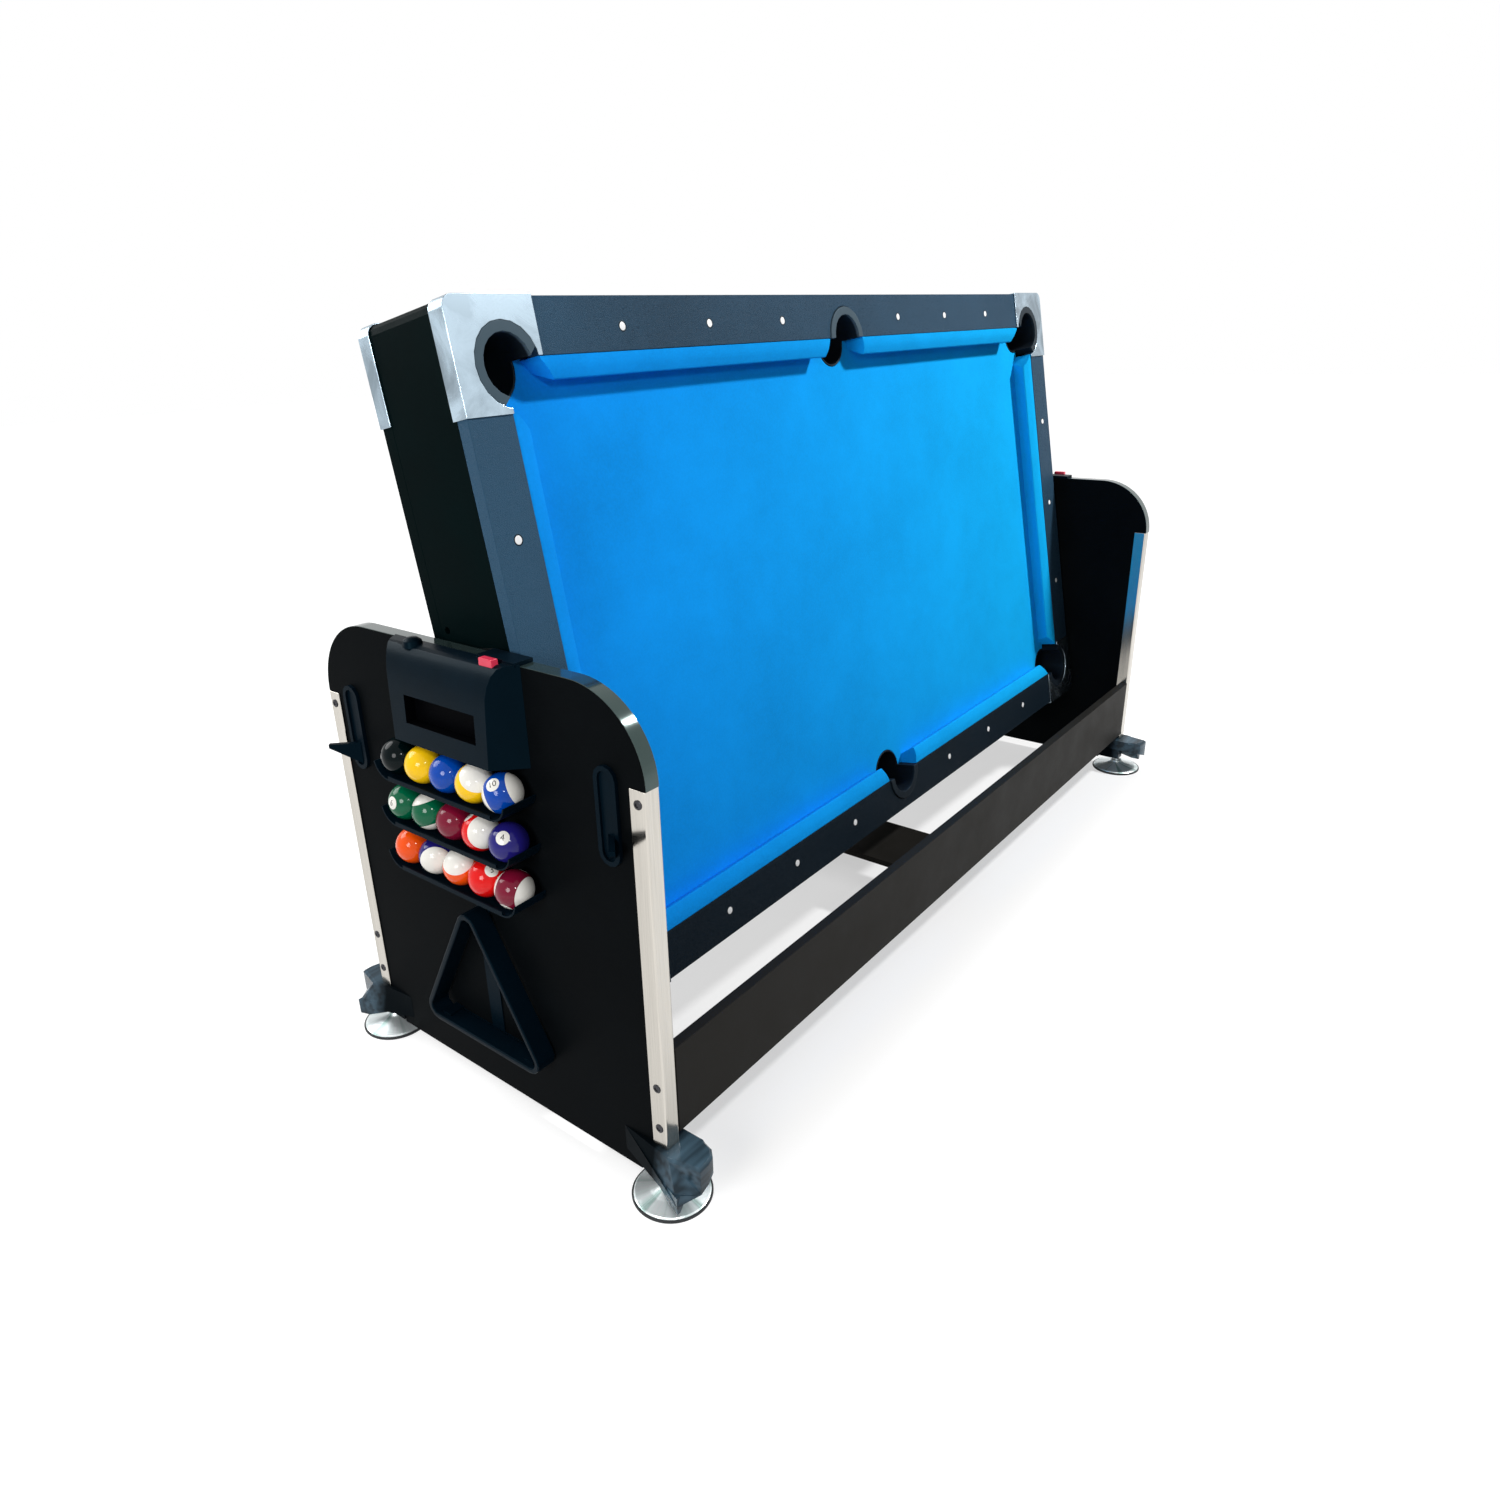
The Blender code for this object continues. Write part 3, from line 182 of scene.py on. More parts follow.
class GameTableStudio(bpy.types.PropertyGroup):
    lens: bpy.props.FloatProperty(name="Lens", description="Focal length of the camera", default=24.541, min=1.0,
                                  unit="CAMERA")
    shift_x: bpy.props.FloatProperty(name="Shift across", description="Camera's shift, in widths of its picture",
                                     default=0.02889, precision=5)
    shift_y: bpy.props.FloatProperty(name="Shift up", description="Camera's shift, in widths of its picture",
                                     default=-0.00953, precision=5)
    place: bpy.props.FloatVectorProperty(name="Camera place", description="Where the camera stands", size=3,
                                         default=(-1.76515, -1.1288, 1.1724), subtype="TRANSLATION")
    yaw: angle("Yaw", "Camera's turn from +Y towards +X", 50.13)
    pitch: angle("Pitch", "Camera's tilt above the level", -21.75)
    roll: angle("Roll", "Camera's roll", -2.21)
    ambient: share("Ambient", "Strength of the light from all round", 0.04, 2.0)
    key_power: watts("Key light", "Power of the main light", 153.0)
    fill_power: watts("Fill light", "Power of the left fill light", 56.0)
    back_power: watts("Back light", "Power of the light behind", 62.0)
    glint_power: watts("Glint light", "Power of the small light that the balls mirror", 13.0)
    floor: colour("Floor", "Pale floor", 0.36, 0.36, 0.36)
    # Painted shadow: less white round the table's footprint than far from it.
    near_glow: share("Near floor glow", "White added under the table, as the camera and mirrors see it", 0.54)
    far_glow: share("Far floor glow", "White added far from the table, as the camera and mirrors see it", 1.0)
    glow_end: length("Glow end", "Distance from the table's footprint where the floor's glow is full", 0.32)


def sizes():
    return bpy.context.scene.game_table_sizes


def colours():
    return bpy.context.scene.game_table_colours


# Modelling helpers
def start():
    """Leave edit mode and select nothing."""
    if bpy.context.object and bpy.context.object.mode != "OBJECT":
        bpy.ops.object.mode_set(mode="OBJECT")
    bpy.ops.object.select_all(action="DESELECT")


def take(piece):
    """Select one object alone and make it active."""
    start()
    piece.select_set(True)
    bpy.context.view_layer.objects.active = piece


def named(name):
    """Name the active object and its mesh."""
    piece = bpy.context.object
    piece.name = name
    piece.data.name = name
    return piece


def edit(piece):
    take(piece)
    bpy.ops.object.mode_set(mode="EDIT")
    bpy.ops.mesh.select_all(action="SELECT")


def leave():
    bpy.ops.object.mode_set(mode="OBJECT")


def face_outwards():
    """Turn all faces of the mesh in edit mode outwards, and leave edit mode."""
    bpy.ops.mesh.select_all(action="SELECT")
    bpy.ops.mesh.normals_make_consistent(inside=False)
    leave()


def ring(name, points):
    """A closed ring of edges through points in space, left in edit mode."""
    start()
    bpy.ops.mesh.primitive_circle_add(vertices=len(points), radius=1.0)
    piece = named(name)
    for vertex, point in zip(piece.data.vertices, points):
        vertex.co = point
    edit(piece)
    return piece


def outline_piece(name, points, depth):
    """A ring of points in space, filled and extruded by the vector depth."""
    piece = ring(name, points)
    bpy.ops.mesh.edge_face_add()
    bpy.ops.mesh.extrude_region_move(TRANSFORM_OT_translate={"value": depth})
    face_outwards()
    return piece


def spun_piece(name, profile, steps):
    """A closed profile of radius and height, spun about the Z axis through the origin."""
    piece = ring(name, [(radius, 0, height) for radius, height in profile])
    bpy.ops.mesh.spin(steps=steps, angle=2 * math.pi, center=(0, 0, 0), axis=(0, 0, 1))
    bpy.ops.mesh.select_all(action="SELECT")
    bpy.ops.mesh.remove_doubles(threshold=0.00001)
    face_outwards()
    return piece


def apply(piece, kind, **settings):
    """Add one modifier and apply it."""
    take(piece)
    modifier = piece.modifiers.new(kind.lower(), kind)
    for key, value in settings.items():
        setattr(modifier, key, value)
    bpy.ops.object.modifier_apply(modifier=modifier.name)
    return piece


def rounded(piece, width, segments=2, limit=30):
    return apply(piece, "BEVEL", width=width, segments=segments, limit_method="ANGLE",
                 angle_limit=math.radians(limit), use_clamp_overlap=True)


def smooth(piece, degrees=38):
    """Smooth shading, in which the large flat faces stay flat beside their rounded edges."""
    take(piece)
    bpy.ops.object.shade_smooth_by_angle(angle=math.radians(degrees))
    return apply(piece, "WEIGHTED_NORMAL", keep_sharp=True, weight=100)


def settle(piece, matrix):
    """Put a piece where matrix says, with its place in its mesh."""
    take(piece)
    piece.matrix_world = matrix
    bpy.ops.object.transform_apply(location=True, rotation=True, scale=True)
    if matrix.determinant() < 0:
        edit(piece)
        face_outwards()
    return piece


def twin(piece, name):
    """A copy with its own mesh."""
    copy = piece.copy()
    copy.data = piece.data.copy()
    copy.name = name
    copy.data.name = name
    bpy.context.scene.collection.objects.link(copy)
    return copy


def merged(pieces, name):
    """Join several pieces into the first one."""
    start()
    for piece in pieces:
        piece.select_set(True)
    bpy.context.view_layer.objects.active = pieces[0]
    bpy.ops.object.join()
    return named(name)


def dressed(piece, body, finish, replaced=()):
    """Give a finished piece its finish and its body."""
    if finish is not None:
        piece.data.materials.clear()
        piece.data.materials.append(finish)
    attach(piece, body)
    if replaced:
        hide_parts(*replaced)
    return piece


def inside(point, low, high):
    return all(low[axis] < point[axis] < high[axis] for axis in range(3))


def weigh_edges(piece, limit, spared):
    """Give a bevel weight to the sharp edges that lie outside the spared boxes."""
    bm = bmesh.new()
    bm.from_mesh(piece.data)
    layer = bm.edges.layers.float.new("bevel_weight_edge")
    for edge in bm.edges:
        middle = (edge.verts[0].co + edge.verts[1].co) / 2
        keeps = any(inside(middle, low, high) for low, high in spared)
        edge[layer] = float(edge.calc_face_angle(0.0) > math.radians(limit) and not keeps)
    bm.to_mesh(piece.data)
    bm.free()


def softened(node, body, finish, width, segments=2, limit=30, spared=()):
    """A copy of a CAD solid with its sharp edges rounded, in place of that solid."""
    start()
    piece = bpy.data.objects.new(node + "_shell", nodes[node].data.copy())
    piece.data.name = piece.name
    bpy.context.scene.collection.objects.link(piece)
    edit(piece)
    bpy.ops.mesh.remove_doubles(threshold=0.00002)
    bpy.ops.mesh.dissolve_limited(angle_limit=math.radians(0.6))
    leave()
    if spared:
        weigh_edges(piece, limit, spared)
        apply(piece, "BEVEL", width=width, segments=segments, limit_method="WEIGHT", use_clamp_overlap=True)
    else:
        rounded(piece, width, segments, limit)
    smooth(piece)
    return dressed(piece, body, finish, (node,))


def repaint(node, finish):
    """Give a CAD solid that is shown as it is its finish."""
    piece = nodes[node]
    piece.data.materials.clear()
    piece.data.materials.append(finish)


# Shader helpers
def add(tree, kind, inputs=None, **settings):
    """Add a node, set its options, and fill or link its inputs."""
    item = tree.nodes.new(kind)
    for key, value in settings.items():
        setattr(item, key, value)
    for key, value in (inputs or {}).items():
        socket = item.inputs[key]
        if isinstance(value, bpy.types.NodeSocket):
            tree.links.new(value, socket)
        else:
            socket.default_value = value
    return item


def wire(tree, item, inputs):
    """Link what varies over the surface to the inputs of a shader or of a group's output."""
    for key, value in inputs.items():
        tree.links.new(value, item.inputs[key])


def maths(tree, operation, first, second=0.0):
    return add(tree, "ShaderNodeMath", {0: first, 1: second}, operation=operation).outputs[0]


def radius_of(tree, x, y):
    """How far a point lies from the axis that its x and y are measured from."""
    squares = [maths(tree, "MULTIPLY", value, value) for value in (x, y)]
    return maths(tree, "SQRT", maths(tree, "ADD", *squares))


def vector_maths(tree, operation, first, second):
    return add(tree, "ShaderNodeVectorMath", {0: first, 1: second}, operation=operation).outputs[0]


def remap(tree, value, low, high, to_low, to_high, shape="LINEAR"):
    """Stretch a value from one range onto another, and hold it at the ends."""
    return add(tree, "ShaderNodeMapRange", {"Value": value, "From Min": low, "From Max": high, "To Min": to_low,
                                            "To Max": to_high}, interpolation_type=shape).outputs["Result"]


def blend_colours(tree, factor, first, second):
    return add(tree, "ShaderNodeMix", {0: factor, 6: first, 7: second}, data_type="RGBA").outputs[2]


def noise(tree, place, scale, detail, roughness=0.5, distortion=0.0, output="Fac"):
    return add(tree, "ShaderNodeTexNoise", {"Vector": place, "Scale": scale, "Detail": detail,
                                            "Roughness": roughness, "Distortion": distortion}).outputs[output]


def full(colour_value, scale=1.0):
    """A colour with its alpha, made lighter or darker by scale."""
    return tuple(min(1.0, channel * scale) for channel in colour_value[:3]) + (1.0,)


def new_group(name, values, outputs):
    """A shader node group with a vector, named values with their defaults, and named float outputs."""
    tree = bpy.data.node_groups.new(name, "ShaderNodeTree")
    tree.interface.new_socket(name="Vector", in_out="INPUT", socket_type="NodeSocketVector")
    for label, default in values.items():
        socket = tree.interface.new_socket(name=label, in_out="INPUT", socket_type="NodeSocketFloat")
        socket.default_value = default
    for label in outputs:
        tree.interface.new_socket(name=label, in_out="OUTPUT", socket_type="NodeSocketFloat")
    return tree, tree.nodes.new("NodeGroupInput").outputs, tree.nodes.new("NodeGroupOutput")


def pattern(tree, name, inputs):
    """Place a shared group in a material, and give its outputs."""
    return add(tree, "ShaderNodeGroup", inputs, node_tree=bpy.data.node_groups[name]).outputs


def make_grain_group():
    """Fine moulded or sprayed grain, with a slow mottle for tone and sheen."""
    tree, given, out = new_group("Fine Grain", {"Scale": 900.0, "Mottle Scale": 9.0}, ("Height", "Mottle"))
    fine = noise(tree, given["Vector"], given["Scale"], 2.0, 0.6)
    slow = noise(tree, given["Vector"], given["Mottle Scale"], 5.0, 0.62)
    wire(tree, out, {"Height": fine, "Mottle": remap(tree, slow, 0.3, 0.7, 0.0, 1.0)})


def make_vinyl_group():
    """Pebbled vinyl: small cells with sunken creases between them."""
    tree, given, out = new_group("Pebbled Vinyl", {"Scale": 420.0}, ("Height", "Crease"))
    wander = 0.004
    warp = noise(tree, given["Vector"], 160.0, 2.0, output="Color")
    shift = vector_maths(tree, "MULTIPLY", warp, (wander, wander, wander))
    place = vector_maths(tree, "ADD", given["Vector"], shift)
    edge = add(tree, "ShaderNodeTexVoronoi", {"Vector": place, "Scale": given["Scale"]},
               feature="DISTANCE_TO_EDGE").outputs["Distance"]
    wire(tree, out, {"Height": remap(tree, edge, 0.0, 0.22, 0.0, 1.0),
                     "Crease": remap(tree, edge, 0.0, 0.10, 1.0, 0.0)})


def make_cloth_group():
    """Napped cloth: a fine weave under short brushed fibres."""
    tree, given, out = new_group("Napped Cloth", {"Threads": 700.0, "Patch Scale": 4.0},
                                 ("Height", "Patches", "Flecks"))
    threads = [add(tree, "ShaderNodeTexWave", {"Vector": given["Vector"], "Scale": given["Threads"],
                                               "Distortion": 2.0, "Detail": 1.0},
                   bands_direction=axis).outputs["Fac"] for axis in ("X", "Y")]
    weave = maths(tree, "MULTIPLY", maths(tree, "MAXIMUM", *threads), 0.35)
    fibre = noise(tree, given["Vector"], 1500.0, 3.0)
    patches = noise(tree, given["Vector"], given["Patch Scale"], 6.0, 0.66)
    flecks = noise(tree, given["Vector"], 260.0, 3.0)
    wire(tree, out, {"Height": maths(tree, "ADD", weave, fibre),
                     "Patches": remap(tree, patches, 0.32, 0.68, 0.0, 1.0),
                     "Flecks": remap(tree, flecks, 0.35, 0.65, 0.0, 1.0)})


def make_brushed_group():
    """Fine straight streaks of brushed or drawn metal, along the vector's Z."""
    tree, given, out = new_group("Drawn Metal", {"Streaks": 900.0}, ("Height", "Streak"))
    place = vector_maths(tree, "MULTIPLY", given["Vector"], (1.0, 1.0, 0.012))
    fine = noise(tree, place, given["Streaks"], 3.0, 0.6)
    broad = noise(tree, place, 60.0, 2.0)
    both = maths(tree, "MULTIPLY", fine, broad)
    wire(tree, out, {"Height": fine, "Streak": remap(tree, both, 0.15, 0.38, 0.0, 1.0)})


def make_ball_group():
    """Masks of a pool ball in its own frame: the number disc round Z and the band round X."""
    tree, given, out = new_group("Ball Paint", {"Disc Radius": 0.0098, "Band Half": 0.0165}, ("Disc", "Band"))
    parts = add(tree, "ShaderNodeSeparateXYZ", {0: given["Vector"]}).outputs
    soft = 0.00015
    disc = maths(tree, "SUBTRACT", given["Disc Radius"], radius_of(tree, parts["X"], parts["Y"]))
    band = maths(tree, "SUBTRACT", given["Band Half"], maths(tree, "ABSOLUTE", parts["X"]))
    wire(tree, out, {"Disc": remap(tree, disc, -soft, soft, 0.0, 1.0),
                     "Band": remap(tree, band, -soft, soft, 0.0, 1.0)})


def new_material(name, roughness, metallic=0.0, specular=0.5, coat=0.0, coat_roughness=0.05, tint=(1, 1, 1)):
    material = bpy.data.materials.new(name)
    material.use_nodes = True
    tree = material.node_tree
    shader = tree.nodes["Principled BSDF"]
    for key, value in (("Roughness", roughness), ("Metallic", metallic), ("Specular IOR Level", specular),
                       ("Coat Weight", coat), ("Coat Roughness", coat_roughness), ("Specular Tint", full(tint))):
        shader.inputs[key].default_value = value
    return material, tree, shader


def object_place(tree, matrix=None):
    """Object coordinates, turned into the frame of matrix where one is given."""
    place = add(tree, "ShaderNodeTexCoord").outputs["Object"]
    if matrix is None:
        return place
    back = matrix.inverted()
    turned = add(tree, "ShaderNodeMapping", {"Vector": place, "Location": back.to_translation(),
                                             "Rotation": back.to_euler("XYZ")})
    return turned.outputs["Vector"]


def coordinates(tree, matrix=None):
    """The object coordinates one by one, under the keys X, Y and Z."""
    return add(tree, "ShaderNodeSeparateXYZ", {0: object_place(tree, matrix)}).outputs


def bump(tree, shader, height, strength, distance=0.0002):
    item = add(tree, "ShaderNodeBump", {"Height": height, "Strength": strength, "Distance": distance})
    wire(tree, shader, {"Normal": item.outputs["Normal"]})


def plastic_material(name, base, roughness, grain, scale, specular, tint=(1, 1, 1), coat=0.0):
    """Moulded plastic or laminate: fine grain, and a slow mottle in tone and sheen."""
    material, tree, shader = new_material(name, roughness, 0.0, specular, coat, 0.12, tint)
    surface = pattern(tree, "Fine Grain", {"Vector": object_place(tree), "Scale": scale})
    mottle = surface["Mottle"]
    wire(tree, shader, {"Base Color": blend_colours(tree, mottle, full(base, 0.82), full(base, 1.22)),
                        "Roughness": remap(tree, mottle, 0.0, 1.0, roughness * 0.88, roughness * 1.12)})
    bump(tree, shader, surface["Height"], grain)
    return material


def metal_material(name, base, roughness, streak, streaks):
    """Drawn metal, a little darker and duller between its streaks."""
    material, tree, shader = new_material(name, roughness, metallic=1.0)
    surface = pattern(tree, "Drawn Metal", {"Vector": object_place(tree), "Streaks": streaks})
    mask = surface["Streak"]
    dull, bright = full(base, 1.0 - 0.3 * streak), full(base, 1.0 + 0.1 * streak)
    rough, fine = roughness * (1 + streak), roughness * (1 - 0.4 * streak)
    wire(tree, shader, {"Base Color": blend_colours(tree, mask, dull, bright),
                        "Roughness": remap(tree, mask, 0.0, 1.0, rough, fine)})
    bump(tree, shader, surface["Height"], 0.25 * streak)
    return material


def vinyl_material(name, base):
    """Pebbled vinyl with painted shade in its creases, and a painted sheen: lighter towards the top's upper left
    corner, near black on its lower rail.
    """
    material, tree, shader = new_material(name, 0.5, specular=0.06)
    place = object_place(tree)
    surface = pattern(tree, "Pebbled Vinyl", {"Vector": place})
    mottle = pattern(tree, "Fine Grain", {"Vector": place, "Mottle Scale": 5.0})["Mottle"]
    tone = blend_colours(tree, mottle, full(base, 0.85), full(base, 1.18))
    # Painted shade: darker in the creases between the cells.
    tone = blend_colours(tree, surface["Crease"], tone, full(base, 0.45))
    parts = coordinates(tree, top_frame)
    # Painted sheen: the rail's slate on the upper rails, fading to near black on the lower rail.
    painted_light_mask = remap(tree, parts["Y"], -0.42, 0.10, 0.14, 1.0)
    tone = blend_colours(tree, painted_light_mask, full(base, 0.03), tone)
    # Painted sheen: lighter towards the top's upper left corner.
    painted_sheen_upper_left = maths(tree, "MULTIPLY", remap(tree, parts["X"], -0.86, -0.60, 0.55, 0.0),
                       remap(tree, parts["Y"], -0.25, 0.10, 0.0, 1.0))
    tone = blend_colours(tree, painted_sheen_upper_left, tone, full(base, 1.75))
    wire(tree, shader, {"Base Color": tone, "Roughness": remap(tree, surface["Crease"], 0.0, 1.0, 0.46, 0.75)})
    bump(tree, shader, surface["Height"], 0.55, 0.0005)
    return material


def cloth_material(name, base):
    """Napped cloth, a little greener and less blue towards the table's right end."""
    material, tree, shader = new_material(name, 0.92, specular=0.03)
    shader.inputs["Sheen Weight"].default_value = 0.05
    shader.inputs["Sheen Roughness"].default_value = 0.5
    shader.inputs["Sheen Tint"].default_value = (0.05, 0.55, 1.0, 1.0)
    surface = pattern(tree, "Napped Cloth", {"Vector": object_place(tree, top_frame)})
    tone = blend_colours(tree, surface["Patches"], full(base, 0.90), full(base, 1.10))
    tone = blend_colours(tree, maths(tree, "MULTIPLY", surface["Flecks"], 0.22), tone, full(base, 1.35))
    along = remap(tree, coordinates(tree, top_frame)["X"], -0.8, 0.8, 0.0, 1.0)
    shade = blend_colours(tree, along, (1.0, 0.82, 1.02, 1.0), (1.0, 1.05, 0.90, 1.0))
    wire(tree, shader, {"Base Color": vector_maths(tree, "MULTIPLY", tone, shade)})
    bump(tree, shader, surface["Height"], 0.5, 0.0004)
    return material


def ball_material(name, base, striped, own, gloss):
    """Polished resin. In the ball's own frame the number faces Z and the band's poles lie on X."""
    white = full(colours().ivory)
    material, tree, shader = new_material(name, 0.08, specular=gloss)
    masks = pattern(tree, "Ball Paint", {"Vector": object_place(tree, own), "Disc Radius": sizes().number_disc,
                                         "Band Half": sizes().stripe_half})
    ground = blend_colours(tree, masks["Band"], white, full(base)) if striped else full(base)
    wire(tree, shader, {"Base Color": blend_colours(tree, masks["Disc"], ground, white)})
    return material


def pocket_material(name, base, collar):
    """Moulded pocket: a black cup, and a collar level with the rails in the grey of painted light, strongest
    towards the upper left and fading to black towards the right and the lower side.
    """
    material, tree, shader = new_material(name, 0.42, specular=0.10, tint=(0.50, 0.80, 1.0))
    surface = pattern(tree, "Fine Grain", {"Vector": object_place(tree)})
    parts = coordinates(tree, top_frame)
    level = sizes().rail_level
    rim = remap(tree, parts["Z"], level - 0.004, level - 0.0005, 0.0, 1.0)
    # Painted light: the collar's grey stands for its lit inner wall.
    painted_light_mask = maths(tree, "MULTIPLY", remap(tree, parts["Y"], -0.30, 0.20, 0.08, 1.0),
                 remap(tree, parts["X"], 0.10, 0.75, 1.0, 0.12))
    wire(tree, shader, {"Base Color": blend_colours(tree, maths(tree, "MULTIPLY", rim, painted_light_mask), full(base),
                                                    full(collar)),
                        "Roughness": remap(tree, surface["Mottle"], 0.0, 1.0, 0.36, 0.48)})
    bump(tree, shader, surface["Height"], 0.35)
    return material


def shoe_material(name, base):
    """Moulded shoe: its lobe past the panel's edge lighter, with a painted highlight in streaks along it, and its
    wings near black.
    """
    material, tree, shader = new_material(name, 0.28, specular=0.03, coat_roughness=0.16, tint=(0.50, 0.80, 1.0))
    surface = pattern(tree, "Fine Grain", {"Vector": object_place(tree)})
    edge = node_size("end_panel_left").y / 2
    across = maths(tree, "ABSOLUTE", coordinates(tree)["Y"])
    # Where the shoe stands past the panel's edge: its lobe, which carries the painted highlight.
    lobe = remap(tree, across, edge - 0.020, edge + 0.012, 0.0, 1.0)
    drawn_out = vector_maths(tree, "MULTIPLY", object_place(tree), (0.12, 1.0, 1.0))
    # Painted highlight: lighter and darker streaks along the lobe.
    streaks = remap(tree, noise(tree, drawn_out, 70.0, 1.0), 0.36, 0.64, 0.0, 1.0)
    tone = blend_colours(tree, streaks, full(base, 0.50), full(base, 1.75))
    wire(tree, shader, {"Base Color": blend_colours(tree, lobe, full(base, 0.04), tone),
                        "Coat Weight": maths(tree, "MULTIPLY", lobe, 0.35),
                        "Roughness": remap(tree, lobe, 0.0, 1.0, 0.60, 0.26)})
    bump(tree, shader, surface["Height"], 0.3)
    return material


def cap_material(name, base, roughness):
    """Cast silver caps, clouded by handling over fine drawn streaks."""
    material, tree, shader = new_material(name, roughness, metallic=1.0)
    place = object_place(tree, top_frame)
    surface = pattern(tree, "Drawn Metal", {"Vector": place, "Streaks": 700.0})
    clouds = remap(tree, noise(tree, place, 13.0, 4.0, 0.55, 0.6), 0.38, 0.62, 0.0, 1.0)
    wire(tree, shader, {"Base Color": blend_colours(tree, clouds, full(base, 0.66), full(base, 1.42)),
                        "Roughness": remap(tree, clouds, 0.0, 1.0, roughness * 1.3, roughness * 0.8)})
    bump(tree, shader, surface["Height"], 0.08)
    return material


def turned_plate_material(name, base):
    """Plated sheet turned on a lathe, with a painted sheen that breaks into dark and pale sectors and streaks
    round the foot's own axis.
    """
    material, tree, shader = new_material(name, 0.3, metallic=0.65)
    parts = coordinates(tree)
    foot = middle_of("levelling_foot_front_left")
    shift = cad_middle().x
    # The four feet mirror each other, so distances from the table's middle serve them all
    off_centre = maths(tree, "ABSOLUTE", maths(tree, "SUBTRACT", parts["X"], shift))
    x = maths(tree, "SUBTRACT", off_centre, shift - foot.x)
    y = maths(tree, "SUBTRACT", maths(tree, "ABSOLUTE", parts["Y"]), -foot.y)
    turn = maths(tree, "ARCTAN2", y, x)
    sector, streak = [add(tree, "ShaderNodeTexNoise", {"W": maths(tree, "MULTIPLY", turn, pace), "Scale": scale,
                                                       "Detail": detail}, noise_dimensions="1D").outputs["Fac"]
                      for pace, scale, detail in ((1.4, 1.6, 1.0), (9.0, 2.0, 3.0))]
    grooves = add(tree, "ShaderNodeTexWave", {"Vector": radius_of(tree, x, y), "Scale": 420.0, "Distortion": 0.6},
                  bands_direction="X")
    # Painted reflection: a dark and a pale tone, laid by the angle round the foot.
    dark, pale = (0.26, 0.38, 0.36, 1.0), (0.66, 0.84, 0.80, 1.0)
    tone = blend_colours(tree, remap(tree, sector, 0.32, 0.50, 0.0, 1.0), dark, full(base))
    tone = blend_colours(tree, remap(tree, streak, 0.35, 0.70, 0.0, 0.5), tone, pale)
    wire(tree, shader, {"Base Color": tone})
    bump(tree, shader, grooves.outputs["Fac"], 0.2)
    return material


def puck_field_material(name):
    """White slick sheet with air holes, a centre line and circle, and two zone lines."""
    circle_radius, circle_half = 0.14, 0.004
    zone_reach, line_half = 0.40, 0.005
    holes_per_metre, hole_share = 40.0, 0.05
    chosen = colours()
    material, tree, shader = new_material(name, 0.16, coat=0.4)
    parts = coordinates(tree, top_frame)
    along = maths(tree, "ABSOLUTE", parts["X"])
    off_circle = maths(tree, "SUBTRACT", radius_of(tree, parts["X"], parts["Y"]), circle_radius)
    circle = maths(tree, "LESS_THAN", maths(tree, "ABSOLUTE", off_circle), circle_half)
    line = maths(tree, "LESS_THAN", along, line_half)
    off_zone = maths(tree, "ABSOLUTE", maths(tree, "SUBTRACT", along, zone_reach))
    zone = maths(tree, "LESS_THAN", off_zone, line_half)
    holes = add(tree, "ShaderNodeTexVoronoi", {"Vector": object_place(tree, top_frame), "Scale": holes_per_metre,
                                               "Randomness": 0.0}, voronoi_dimensions="2D")
    hole = maths(tree, "LESS_THAN", holes.outputs["Distance"], hole_share)
    red = maths(tree, "MAXIMUM", circle, line)
    tone = blend_colours(tree, red, full(chosen.puck_field), full(chosen.red_line))
    tone = blend_colours(tree, zone, tone, full(chosen.blue_line))
    tone = blend_colours(tree, hole, tone, full(chosen.air_hole))
    wire(tree, shader, {"Base Color": tone})
    bump(tree, shader, maths(tree, "SUBTRACT", 1.0, hole), 0.6, 0.0006)
    return material


finishes = {}


